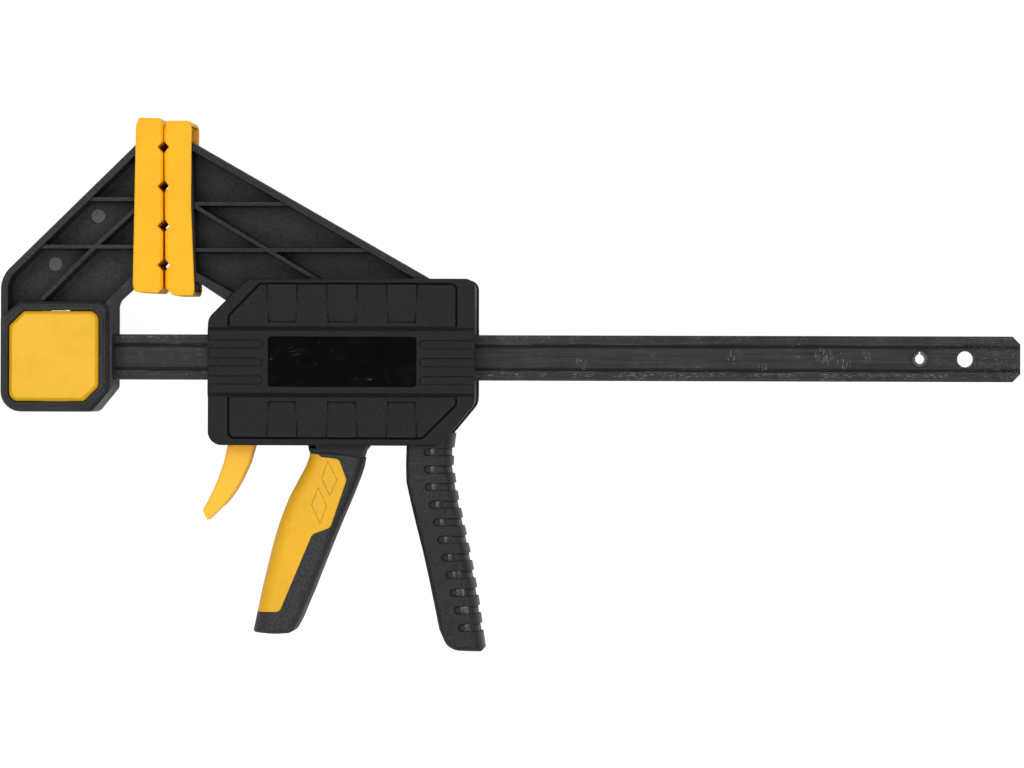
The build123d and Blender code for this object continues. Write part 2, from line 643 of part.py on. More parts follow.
def make_cover(with_label):
    """Cover with its raised band, sunk panels, pads and finger grooves, facing +Z."""
    case = case_outline()
    cover = prism(case, CORE_HALF, BORDER_LEVEL)
    cover = chamfer(face_edges(cover, BORDER_LEVEL), 0.6)
    foot_top = BAND_TOP + BAND_SLOPE
    foot_base = BAND_BASE - BAND_SLOPE
    cover -= panel_hollows(1, foot_top + WEDGE_LIP, PANEL_OUTER)
    cover -= panel_hollows(-1, foot_base - WEDGE_LIP, PANEL_BASE)
    for sign in (1, -1):
        groove = cover_panel(sign) - offset(cover_panel(sign), amount=-PANEL_GROOVE)
        cover -= prism(groove, PANEL_GROOVE_LEVEL, BORDER_LEVEL + 1)

    band_profile = make_face(Polyline(
        (foot_base, PANEL_LEVEL), (BAND_BASE, BAND_LEVEL), (BAND_TOP, BAND_LEVEL), (foot_top, PANEL_LEVEL),
        (foot_top, CORE_HALF), (foot_base, CORE_HALF), close=True).edges())
    band = Pos(CASE_LEFT, 0, 0) * extrude(Plane.YZ * band_profile, amount=CASE_RIGHT - CASE_LEFT)
    ends = [e for e in face_edges(band, BAND_LEVEL) if e.center().X < CASE_LEFT + 1 or e.center().X > CASE_RIGHT - 1]
    band = chamfer(ends, 0.6)
    cover += band & prism(case, CORE_HALF, BAND_LEVEL + 1)

    radius = PILL_HEIGHT / 2
    for index in (-1, 0, 1):
        y = PILL_MIDDLE_Y + index * PILL_PITCH
        for end, inward in ((CASE_LEFT, 1), (CASE_RIGHT, -1)):
            x = end + inward * (PILL_LENGTH - radius)
            pill = Pos(x, y) * Circle(radius) + Pos(x - inward * 20, y) * Rectangle(40, PILL_HEIGHT)
            cover -= prism(pill, BAND_LEVEL - PILL_DEPTH, BAND_LEVEL + 1)
    if with_label:
        cover -= prism(label_outline(0.1), BAND_LEVEL - LABEL_SINK, BAND_LEVEL + 1)
    room = BAND_LEVEL - LABEL_SINK - BAND_WALL + 0.9
    cover -= block(CORE_LEFT + CORE_WALL, CORE_RIGHT - CORE_WALL, BAND_BASE + 2, BAND_TOP - 1.5, CORE_HALF, room)
    return cover


def label_outline(extra):
    """Rounded label, grown all round by extra."""
    return Pos(*LABEL_MIDDLE) * RectangleRounded(LABEL_WIDTH + 2 * extra, LABEL_HEIGHT + 2 * extra, 1.5)


def make_front_cover():
    """Near cover, with the label's recess and the spigots that take the screws."""
    cover = make_cover(True)
    for place in SCREW_PLACES:
        cover += post(place, SPIGOT_RADIUS, SPIGOT_LEVEL, CORE_HALF + 1)
    for place in SCREW_PLACES:
        cover -= post(place, SCREW_RADIUS + 0.02, SPIGOT_LEVEL, SCREW_TIP_LEVEL + SEAT_CLEARANCE)
    return cover


def make_rear_cover():
    """Far cover, with a deep well for each screw."""
    cover = mirror(make_cover(False), about=Plane.XY)
    for place in SCREW_PLACES:
        cover += post(place, BOSS_RADIUS, -CORE_HALF - 1, CUP_LEVEL)
    for place in SCREW_PLACES:
        cover -= post(place, SCREW_HEAD_RADIUS + CASE_CLEARANCE, -BAND_LEVEL - 1, CUP_LEVEL - CUP_FLOOR)
        cover -= post(place, SCREW_RADIUS + SEAT_CLEARANCE, -BAND_LEVEL - 1, CUP_LEVEL)
    return cover


def make_label_plate():
    """Thin plate in the near cover's recess."""
    floor = BAND_LEVEL - LABEL_SINK
    return prism(label_outline(0.0), floor, floor + LABEL_THICKNESS)


def make_cover_screws():
    """Pan head screws, each with a cross recess."""
    seat = CUP_LEVEL - CUP_FLOOR
    head = seat - SCREW_HEAD_HEIGHT
    screws = []
    for x, y in SCREW_PLACES:
        screw = post((x, y), SCREW_HEAD_RADIUS, head, seat)
        screw = chamfer(face_edges(screw, head), 0.6)
        screw -= block(x - 1.9, x + 1.9, y - 0.45, y + 0.45, head, head + 1.3)
        screw -= block(x - 0.45, x + 0.45, y - 1.9, y + 1.9, head, head + 1.3)
        screws.append(screw + post((x, y), SCREW_RADIUS, seat, SCREW_TIP_LEVEL))
    return Compound(children=[solid for screw in screws for solid in screw.solids()])


# ---------------------------------------------------------------- squeeze handle

def make_trigger_lever():
    """Forked lever that straddles the bar, with a nose that pushes the drive plates."""
    trunk = slab(outline(
        (61.8, -14.5, 2), (77.5, -14.5, 1), (82.3, -20.5, 1), (82.2, -26.5, 1), (90.3, -28.8, 1), (90.2, -36.5, 3),
        (89.4, -39.4, 1), (88.1, -40.9, 1), (87.2, -43.9), (64.3, -41.3), (63.8, -38.6)), TRUNK_HALF)
    trunk -= block(64.6, 67.2, -40.0, -38.4, TRUNK_HALF - 6, TRUNK_HALF)
    nose = post((PIVOT_X + NOSE_X, PIVOT_Y + NOSE_Y), NOSE_RADIUS, -DRIVE_PLATE_HALF, DRIVE_PLATE_HALF)
    lever = trunk + nose
    cheek = Pos(PIVOT_X, PIVOT_Y) * Circle(CHEEK_RADIUS)
    cheek += outline((PIVOT_X - CHEEK_RADIUS, PIVOT_Y), (PIVOT_X + CHEEK_RADIUS, PIVOT_Y),
                     (PIVOT_X + CHEEK_RADIUS, PIVOT_Y - 6, 8), (80.5, -20), (62.5, -20))
    for low, high in ((-CHEEK_OUTER, -CHEEK_INNER), (CHEEK_INNER, CHEEK_OUTER)):
        lever += prism(cheek, low, high)
    lever -= post((PIVOT_X, PIVOT_Y), PIVOT_PIN_DIAMETER / 2 + PIN_CLEARANCE, -CHEEK_OUTER, CHEEK_OUTER)
    return lever + tang(0.0)


def tang(gap):
    """The lever's tongue inside the handle's sleeve, grown all round by gap."""
    start = Vector(76.0, -40.0)
    end = Vector(57.5, -98.0)
    along = (end - start).normalized()
    end += along * gap
    return slab(strip((start.X, start.Y), (end.X, end.Y), TANG_WIDTH + 2 * gap), TANG_HALF + gap)


def handle_body(inset=0.0):
    """Whole handle below its seam, or the same body inset all over."""
    body = lofted_bar(HANDLE_SECTIONS, HANDLE_HALF, HANDLE_FRONT_ROUND, HANDLE_REAR_ROUND, inset)
    trim = outline((30, -37.5), (30, -112.0), (38.6, -117.5), (39.4, -120.5, 2.2), (49.0, -121.5, 25),
                   (57.0, -120.9, 4), (60.3, -115.0, 7), (64.8, -104.0), (100, -90), (100, -45.4))
    return body & slab(trim, HANDLE_HALF + 1) & round_foot(HANDLE_BASE, HANDLE_HALF, FOOT_ROUND, inset)


def inlay_zone():
    """The part of the handle that the soft inlay covers, from the fingers' side."""
    return outline((30, -38), (68.4, -42.6), (69.6, -43.7, 0.4), (77.4, -44.5, 2.5), (80.9, -53.6, 3),
                   (73.8, -74.6, 3.5), (65.8, -77.6, 3.5), (51.6, -111.6, 2.6), (41.0, -111.8), (30, -111.6))


def make_trigger_inlay():
    """Soft inlay over the fingers' side of the handle, with two sunk diamonds."""
    inlay = handle_body() & slab(inlay_zone(), HANDLE_HALF + 1)
    inlay -= handle_body(INLAY_DEPTH)
    for diamond in (((72.6, -45.4), (76.8, -53.7), (73.5, -60.7), (70.0, -52.9)),
                    ((68.4, -56.9), (72.2, -65.1), (69.3, -73.0), (65.5, -64.8))):
        face = outline(*diamond)
        for low in (-HANDLE_HALF - 1, HANDLE_HALF - DIAMOND_DEPTH):
            inlay -= prism(face, low, low + 1 + DIAMOND_DEPTH)
    return inlay


def make_trigger_grip():
    """Hard sleeve of the handle, cut back where the soft inlay lies."""
    cover = slab(inlay_zone(), HANDLE_HALF + 1) - handle_body(INLAY_DEPTH)
    return handle_body() - cover - tang(SEAT_CLEARANCE)


def make_pivot_pin():
    """Steel pin that the squeeze handle turns on."""
    return post((PIVOT_X, PIVOT_Y), PIVOT_PIN_DIAMETER / 2, -PIVOT_PIN_HALF, PIVOT_PIN_HALF)


# ---------------------------------------------------------------- drive and brake

def make_drive_plate(index):
    """Hardened plate with a close slot for the bar, which grips the bar when pushed."""
    left = PLATE_START_X + index * DRIVE_PLATE
    plate = block(left, left + DRIVE_PLATE, DRIVE_PLATE_BASE, DRIVE_PLATE_TOP, -DRIVE_PLATE_HALF, DRIVE_PLATE_HALF)
    return plate - block(left, left + DRIVE_PLATE, -BAR_TOP - PIN_CLEARANCE, BAR_TOP + PIN_CLEARANCE,
                         -BAR_HALF - PIN_CLEARANCE, BAR_HALF + PIN_CLEARANCE)


def make_drive_spring():
    """Coil spring round the bar that sends the plates and the handle back."""
    length = SPRING_WALL_X - PLATES_END_X - 2 * SEAT_CLEARANCE
    spring = coil(DRIVE_SPRING_RADIUS, DRIVE_SPRING_WIRE, length, DRIVE_SPRING_TURNS)
    return Pos(PLATES_END_X + SEAT_CLEARANCE, 0, 0) * (Rot(0, 90, 0) * spring)


def brake_place():
    """Where the brake plate hangs: at its fulcrum, tilted as it rests."""
    return Pos(FULCRUM_X, FULCRUM_Y, 0) * Rot(0, 0, -BRAKE_ANGLE)


def brake_depth(y):
    """Distance from the fulcrum, along the tilted plate, to a height."""
    return (FULCRUM_Y - y) / math.cos(math.radians(BRAKE_ANGLE))


def make_brake_plate():
    """Plate that jams on the bar while it is tilted, with a tail for the lever."""
    half = BRAKE_PLATE / 2
    shoulder = brake_depth(LEVER_TOP) - 0.3
    plate = block(-half, half, -shoulder, 0, -BRAKE_HALF, BRAKE_HALF)
    plate += post((0, 0), half, -BRAKE_HALF, BRAKE_HALF)
    plate += block(-half, half, -shoulder - BRAKE_TAIL_LENGTH, -shoulder, -BRAKE_TAIL_HALF, BRAKE_TAIL_HALF)
    lean = half * math.tan(math.radians(BRAKE_ANGLE))
    slot_top = -brake_depth(BAR_TOP) + lean + PIN_CLEARANCE
    slot_base = -brake_depth(-BAR_TOP) - lean - PIN_CLEARANCE
    side = BAR_HALF + PIN_CLEARANCE
    plate -= block(-half, half, slot_base, slot_top, -side, side)
    return brake_place() * plate


def make_release_lever():
    """Finger lever moulded to take the brake plate's tail."""
    lever = lofted_bar(LEVER_SECTIONS, LEVER_HALF, LEVER_ROUND, LEVER_ROUND)
    lever &= slab(outline((0, LEVER_TOP), (0, -57), (16.5, -67.2, 0.3), (19.0, -71.9, 0.4),
                          (24.1, -66.9), (60, -35), (60, LEVER_TOP)), LEVER_HALF + 1)
    half = BRAKE_PLATE / 2 + SEAT_CLEARANCE
    bottom = brake_depth(LEVER_TOP) + BRAKE_TAIL_LENGTH
    side = BRAKE_TAIL_HALF + SEAT_CLEARANCE
    slot = block(-half, half, -bottom, -bottom + BRAKE_TAIL_LENGTH + 5, -side, side)
    return lever - brake_place() * slot


def make_brake_spring():
    """Coil spring that holds the brake plate tilted."""
    lean = math.tan(math.radians(BRAKE_ANGLE))
    depth = FULCRUM_Y - BRAKE_SPRING_Y
    reach = BRAKE_SPRING_RADIUS + BRAKE_SPRING_WIRE / 2
    face_x = FULCRUM_X - (depth - reach) * lean + BRAKE_PLATE / 2 / math.cos(math.radians(BRAKE_ANGLE))
    length = BRAKE_POST_X - face_x - 2 * SEAT_CLEARANCE
    spring = coil(BRAKE_SPRING_RADIUS, BRAKE_SPRING_WIRE, length, BRAKE_SPRING_TURNS)
    return Pos(face_x + SEAT_CLEARANCE, BRAKE_SPRING_Y, 0) * (Rot(0, 90, 0) * spring)


# ---------------------------------------------------------------- assembly

parts = {
    "bar": make_bar(),
    "stop_pin": make_stop_pin(),
    "fixed_jaw": make_fixed_jaw(),
    "fixed_pad": make_fixed_pad(),
    "button_spring": make_button_spring(),
    "push_button": make_push_button(),
    "latch_pin": make_latch_pin(),
    "carriage_frame": make_carriage_frame(),
    "front_cover": make_front_cover(),
    "rear_cover": make_rear_cover(),
    "label_plate": make_label_plate(),
    "moving_pad": make_moving_pad(),
    "cover_screws": make_cover_screws(),
    "handle_pivot_pin": make_pivot_pin(),
    "drive_spring": make_drive_spring(),
    "brake_spring": make_brake_spring(),
    "trigger_lever": make_trigger_lever(),
    "trigger_grip": make_trigger_grip(),
    "trigger_inlay": make_trigger_inlay(),
    "drive_plate_a": make_drive_plate(0),
    "drive_plate_b": make_drive_plate(1),
    "brake_plate": make_brake_plate(),
    "release_lever": make_release_lever(),
}

boxes = [shape.bounding_box() for shape in parts.values()]
LOW_X = min(box.min.X for box in boxes)
HIGH_X = max(box.max.X for box in boxes)
LOW_Y = min(box.min.Y for box in boxes)
HIGH_Y = max(box.max.Y for box in boxes)
ORIGIN = Vector((LOW_X + HIGH_X) / 2, (LOW_Y + HIGH_Y) / 2, -BAND_LEVEL)

os.makedirs("parts", exist_ok=True)
for name, shape in parts.items():
    export_step(Pos(-ORIGIN.X, -ORIGIN.Y, -ORIGIN.Z) * shape, f"parts/{name}.step")
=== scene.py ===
"""Looks of the quick release bar clamp: its finishes, its fine detail and its studio.

Everything is in metres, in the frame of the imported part: X along the bar, Y from the
grips to the jaws, and Z up from the floor that the clamp lies on. Sizes of the finishes
and the sub-assemblies are in millimetres, measured as the clamp's maker would: X from
where the pads meet, Y from the bar's centre line and Z from the middle of the bar.
"""

import json
import logging
import math
from dataclasses import dataclass, field, replace
from enum import Enum
from functools import cached_property, reduce

import bmesh
import bpy
import numpy as np
from mathutils import Matrix, Vector

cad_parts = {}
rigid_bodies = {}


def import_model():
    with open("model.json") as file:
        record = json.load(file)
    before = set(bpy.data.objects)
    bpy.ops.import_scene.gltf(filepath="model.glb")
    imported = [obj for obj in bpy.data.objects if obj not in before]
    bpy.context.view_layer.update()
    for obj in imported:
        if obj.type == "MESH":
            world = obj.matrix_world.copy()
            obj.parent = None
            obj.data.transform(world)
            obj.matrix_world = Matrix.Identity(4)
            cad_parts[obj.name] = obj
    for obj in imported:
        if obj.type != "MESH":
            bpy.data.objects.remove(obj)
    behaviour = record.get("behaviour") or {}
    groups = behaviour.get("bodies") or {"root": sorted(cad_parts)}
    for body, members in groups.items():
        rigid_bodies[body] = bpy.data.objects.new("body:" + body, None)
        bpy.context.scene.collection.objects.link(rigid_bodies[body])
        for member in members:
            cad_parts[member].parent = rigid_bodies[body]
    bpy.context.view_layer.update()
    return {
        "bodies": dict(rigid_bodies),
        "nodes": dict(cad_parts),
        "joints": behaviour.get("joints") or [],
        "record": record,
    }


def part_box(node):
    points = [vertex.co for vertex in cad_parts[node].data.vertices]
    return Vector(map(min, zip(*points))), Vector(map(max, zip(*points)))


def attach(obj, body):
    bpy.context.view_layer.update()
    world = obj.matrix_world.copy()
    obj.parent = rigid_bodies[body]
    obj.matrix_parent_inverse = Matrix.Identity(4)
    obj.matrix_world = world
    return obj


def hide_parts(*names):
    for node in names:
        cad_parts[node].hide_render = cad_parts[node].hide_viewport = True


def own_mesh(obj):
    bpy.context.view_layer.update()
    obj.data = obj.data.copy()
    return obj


LOG = logging.getLogger("bar_clamp")
MM = 0.001
# Place of the bar's left end in the maker's sizes
BAR_LEFT_MM = -71.7
# Angles in degrees past which an edge stays sharp, on plain and on finely drawn shapes
CREASE, FINE_CREASE = 35.0, 60.0
# Most of a noise lies between these levels
NOISE_LOW, NOISE_HIGH = 0.3, 0.7
# Where the rounded normal matches the flat one less than this, an edge starts
EDGE_START = 0.995

Socket = bpy.types.NodeSocket
Shape = tuple[np.ndarray, list[list[int]]]


def linear(code: str) -> tuple[float, float, float, float]:
    """Turn an sRGB hex colour into linear light.

    Args:
        code: The colour as "#rrggbb".

    Returns:
        Red, green, blue and a full alpha.
    """
    parts = [int(code[place:place + 2], 16) / 255 for place in (1, 3, 5)]
    levels = (part / 12.92 if part <= 0.04045 else ((part + 0.055) / 1.055) ** 2.4 for part in parts)
    return *levels, 1.0


# ---------------------------------------------------------------- node trees


class Nodes:
    """Node tree being built, with a method for each step that the looks share."""

    def __init__(self, owner: bpy.types.Material | bpy.types.World) -> None:
        """Give a material or a world an empty tree.

        Args:
            owner: The material or world.
        """
        owner.use_nodes = True
        self.tree = owner.node_tree
        self.tree.nodes.clear()

    @cached_property
    def place(self) -> Socket:
        """Give the place in the object, in metres."""
        return self.add("TexCoord")["Object"]

    @cached_property
    def axes(self) -> bpy.types.bpy_prop_collection:
        """Give the place's X, Y and Z."""
        return self.add("SeparateXYZ", {0: self.place})

    def add(self, kind: str, inputs: dict | None = None, **settings) -> bpy.types.bpy_prop_collection:
        """Add a node with its settings, its values and its links.

        Args:
            kind: Blender's name for the node's type, after its ShaderNode.
            inputs: For each input, by name or number, a value or the output that feeds it.
            **settings: The node's own properties.

        Returns:
            The node's outputs.
        """
        node = self.tree.nodes.new(f"ShaderNode{kind}")
        for key, value in settings.items():
            setattr(node, key, value)
        for key, value in (inputs or {}).items():
            if isinstance(value, Socket):
                self.tree.links.new(value, node.inputs[key])
            else:
                node.inputs[key].default_value = value
        return node.outputs

    def math(self, operation: str, *levels: Socket | float) -> Socket:
        """Work out one level from others by Blender's name for the sum."""
        return self.add("Math", dict(enumerate(levels)), operation=operation)[0]

    def times(self, *levels: Socket | float) -> Socket:
        """Multiply levels."""
        return reduce(lambda product, level: self.math("MULTIPLY", product, level), levels)

    def most(self, *levels: Socket | float) -> Socket:
        """Take the highest of the levels."""
        return reduce(lambda highest, level: self.math("MAXIMUM", highest, level), levels)

    def away(self, level: Socket, middle: Socket | float) -> Socket:
        """Give how far a level is from a middle, either way."""
        return self.math("ABSOLUTE", self.math("SUBTRACT", level, middle))

    def ramp(self, level: Socket, low: float, high: float, start: float = 0.0, end: float = 1.0) -> Socket:
        """Carry a level smoothly from one range to another and hold it at the ends.

        Args:
            level: The level to carry over.
            low: Level at which the result is start.
            high: Level at which the result is end.
            start: Result at and beyond low.
            end: Result at and beyond high.

        Returns:
            The output with the result.
        """
        spans = {"Value": level, "From Min": low, "From Max": high, "To Min": start, "To Max": end}
        return self.add("MapRange", spans, interpolation_type="SMOOTHSTEP", clamp=True)["Result"]

    def swing(self, noise: Socket, low: float, high: float) -> Socket:
        """Let a level swing from low to high with a noise."""
        return self.ramp(noise, NOISE_LOW, NOISE_HIGH, low, high)

    def noise(self, size_mm: float, detail: float = 2.0, roughness: float = 0.5, distortion: float = 0.0,
              squeeze: tuple[float, float, float] | None = None, place: Socket | None = None) -> Socket:
        """Make soft noise from 0 to 1.

        Args:
            size_mm: Size of its spots.
            detail: Number of finer layers over them.
            roughness: Strength of those layers.
            distortion: How much the spots are bent.
            squeeze: Share by which each axis is shortened, small along streaks.
            place: Output with the place, if it isn't the place in the object.

        Returns:
            The output with the noise.
        """
        place = self.place if place is None else place
        if squeeze:
            place = self.add("Mapping", {"Vector": place, "Scale": squeeze})["Vector"]
        return self.add("TexNoise", {"Vector": place, "Scale": 1 / (size_mm * MM), "Detail": detail,
                                     "Roughness": roughness, "Distortion": distortion})["Fac"]

    def edges(self, radius_mm: float) -> tuple[Socket, Socket]:
        """Round every edge and find where the edges are.

        Args:
            radius_mm: Radius of the edges.

        Returns:
            The rounded normal, and its match with the flat one, which is 1 away from edges.
        """
        rounded = self.add("Bevel", {"Radius": radius_mm * MM}, samples=6)["Normal"]
        flat = self.add("NewGeometry")["Normal"]
        return rounded, self.add("VectorMath", {0: rounded, 1: flat}, operation="DOT_PRODUCT")["Value"]

    def bump(self, height: Socket, depth_mm: float, normal: Socket) -> Socket:
        """Add relief of a full depth to a normal."""
        relief = {"Height": height, "Strength": 1.0, "Distance": depth_mm * MM, "Normal": normal}
        return self.add("Bump", relief)["Normal"]

    def tinted(self, code: str, tone: Socket) -> Socket:
        """Multiply an sRGB hex colour by a tone."""
        return self.add("VectorMath", {0: linear(code)[:3], "Scale": tone}, operation="SCALE")["Vector"]

    def blend(self, share: Socket, *colours: Socket | str) -> Socket:
        """Lay a second colour over a first one.

        Args:
            share: How much of the second colour shows.
            *colours: The two colours, each an output or sRGB hex.

        Returns:
            The output with the colour.
        """
        below, above = (linear(colour) if isinstance(colour, str) else colour for colour in colours)
        return self.add("Mix", {"Factor": share, 6: below, 7: above}, data_type="RGBA")[2]


# ---------------------------------------------------------------- finishes


@dataclass(frozen=True)
class Look:
    """Look of a material.

    Attributes:
        name: Name of the finish.
    """

    name: str

    def inputs(self, nodes: Nodes) -> dict:
        """Give the shader's inputs: none, for plain plastic."""
        return {}

    def build(self) -> bpy.types.Material:
        """Make the material, which is one principled shader.

        Returns:
            The finished material.
        """
        material = bpy.data.materials.new(self.name)
        nodes = Nodes(material)
        shader = nodes.add("BsdfPrincipled", self.inputs(nodes))["BSDF"]
        nodes.add("OutputMaterial", {"Surface": shader})
        return material


@dataclass(frozen=True)
class MouldedPlastic(Look):
    """Injection-moulded plastic or rubber with the fine grain that its mould was given.

    The grain breaks up the gloss, rubbed edges are polished and a little paler, partly as wear
    and partly as a painted highlight, the corners darken with painted shade, and the flow of
    the melt leaves a faint change of tone over a few centimetres.

    Attributes:
        colour: Colour of the plastic as sRGB hex.
        worn_and_highlight: Colour of its edges, paler as wear and as a painted highlight, as sRGB hex.
        corner_shade: Colour of the painted shade in its corners as sRGB hex.
        roughness: Roughness of its flat faces.
        specular: Level of its reflections, where 0.5 is plain plastic.
        grain_mm: Size of the mould's grain.
        grain_depth_mm: Depth of that grain.
        edge_mm: Radius that the mould leaves on every edge.
        edge_paling: Share of the pale edge colour that shows on edges, as wear and painted highlight.
        polish: How much smoother rubbed edges are.
        corner_shade_share: Share of the painted shade's colour that shows in corners.
        corner_shade_mm: How far the painted shade reaches out of a corner.
        dust: How much rougher corners are.
        flow_mm: Size of the patches that the flow of the melt leaves.
        mottle: Strength of the slow change of tone.
        speckle: Strength of the grain's change of tone.
        scuffs: Share of the pale edge colour in long faint scuffs.
        scuff_mm: Width of those scuffs.
        glow: Share of the light that enters the surface and comes out beside it.
        glow_mm: How far that light goes.
        glow_reach: How far its red, green and blue go, as shares of that.
    """

    colour: str
    worn_and_highlight: str
    corner_shade: str
    roughness: float = 0.5
    specular: float = 0.4
    grain_mm: float = 0.9
    grain_depth_mm: float = 0.02
    edge_mm: float = 0.45
    edge_paling: float = 0.5
    polish: float = 0.12
    corner_shade_share: float = 0.6
    corner_shade_mm: float = 1.6
    dust: float = 0.35
    flow_mm: float = 24.0
    mottle: float = 0.1
    speckle: float = 0.15
    scuffs: float = 0.0
    scuff_mm: float = 0.9
    glow: float = 0.0
    glow_mm: float = 1.0
    glow_reach: tuple[float, float, float] = (1.0, 0.35, 0.05)

    def inputs(self, nodes: Nodes) -> dict:
        """Work out the shader's inputs.

        Args:
            nodes: The tree.

        Returns:
            The inputs by name.
        """
        grain = nodes.noise(self.grain_mm, 3.0, 0.65)
        flow = nodes.noise(self.flow_mm, 5.0, 0.7, 0.8)
        scuff = nodes.noise(self.scuff_mm, squeeze=(0.04, 1.0, 1.0))
        rounded, match = nodes.edges(self.edge_mm)
        # Painted shade: ambient occlusion finds the corners, which darken towards the corner colour.
        shade = nodes.add("AmbientOcclusion", {"Distance": self.corner_shade_mm * MM}, samples=8, only_local=True)
        corner = nodes.ramp(shade["AO"], 0.97, 0.5)

        # Paler edges: partly wear and partly a painted highlight; the same mask makes them smoother.
        rubbed = nodes.times(nodes.ramp(match, EDGE_START, 0.86), nodes.ramp(grain, NOISE_LOW, 0.6))
        drawn = nodes.times(nodes.ramp(scuff, 0.66, 0.78), nodes.ramp(flow, 0.5, 0.62))
        pale = nodes.most(nodes.times(rubbed, self.edge_paling), nodes.times(drawn, self.scuffs))
        tone = nodes.times(nodes.swing(flow, 1 - self.mottle, 1 + self.mottle),
                           nodes.swing(grain, 1 - self.speckle, 1 + self.speckle))
        worn_and_highlit = nodes.blend(pale, nodes.tinted(self.colour, tone), self.worn_and_highlight)
        matt = nodes.swing(flow, self.roughness - 0.05, self.roughness + 0.06)
        polished = nodes.math("MULTIPLY_ADD", rubbed, -self.polish, matt)
        return {
            # Painted shade in the corners, laid over the colour of the plastic.
            "Base Color": nodes.blend(nodes.times(corner, self.corner_shade_share), worn_and_highlit, self.corner_shade),
            "Roughness": nodes.math("MULTIPLY_ADD", corner, self.dust, polished),
            "Normal": nodes.bump(grain, self.grain_depth_mm, rounded),
            "Specular IOR Level": self.specular,
            "Subsurface Weight": self.glow,
            "Subsurface Scale": self.glow_mm * MM,
            "Subsurface Radius": self.glow_reach}


@dataclass(frozen=True)
class Steel(Look):
    """Steel as rolling, grinding or drawing left it.

    Fine lines run one way, tone drifts in patches, and bright metal shows on rubbed edges.

    Attributes:
        skin: Colour of the surface as sRGB hex.
        bare: Colour of bright metal as sRGB hex.
        metallic: 1 for plain metal, less where a dark coat covers it.
        roughness: Roughness of its faces.
        line_mm: Spacing of the fine lines.
        line_depth_mm: Depth of those lines.
        run: How many times longer than wide the lines are, along X, Y and Z.
        patch_mm: Size of the patches.
        edge_paling: Share of bright metal that shows on edges.
        edge_mm: Radius on every edge.
    """

    skin: str
    bare: str
    metallic: float = 1.0
    roughness: float = 0.35
    line_mm: float = 0.5
    line_depth_mm: float = 0.008
    run: tuple[float, float, float] = (1.0, 1.0, 1.0)
    patch_mm: float = 12.0
    edge_paling: float = 0.5
    edge_mm: float = 0.3

    def inputs(self, nodes: Nodes) -> dict:
        """Work out the shader's inputs.

        Args:
            nodes: The tree.

        Returns:
            The inputs by name.
        """
        lines = nodes.noise(self.line_mm, 4.0, 0.7, squeeze=tuple(1 / length for length in self.run))
        patches = nodes.noise(self.patch_mm, 4.0, 0.65)
        rounded, match = nodes.edges(self.edge_mm)
        chipped = nodes.times(nodes.ramp(match, EDGE_START, 0.85), nodes.ramp(lines, 0.4, 0.6))
        tone = nodes.times(nodes.swing(patches, 0.82, 1.2), nodes.swing(lines, 0.85, 1.18))
        skin = nodes.tinted(self.skin, tone)
        return {
            "Base Color": nodes.blend(nodes.times(chipped, self.edge_paling), skin, self.bare),
            "Metallic": self.metallic,
            "Normal": nodes.bump(lines, self.line_depth_mm, rounded),
            "Roughness": nodes.swing(lines, self.roughness - 0.06, self.roughness + 0.1)}


@dataclass(frozen=True)
class Dashes:
    """Short marks that all run one way.

    Attributes:
        width_mm: Width of a mark.
        squeeze: Share by which each axis is shortened, small along the marks.
        low: Noise at which a mark starts.
        high: Noise at which it is full.
    """

    width_mm: float
    squeeze: tuple[float, float, float]
    low: float
    high: float

    def level(self, nodes: Nodes) -> Socket:
        """Give the marks' strength."""
        return nodes.ramp(nodes.noise(self.width_mm, 2.0, 0.6, squeeze=self.squeeze), self.low, self.high)


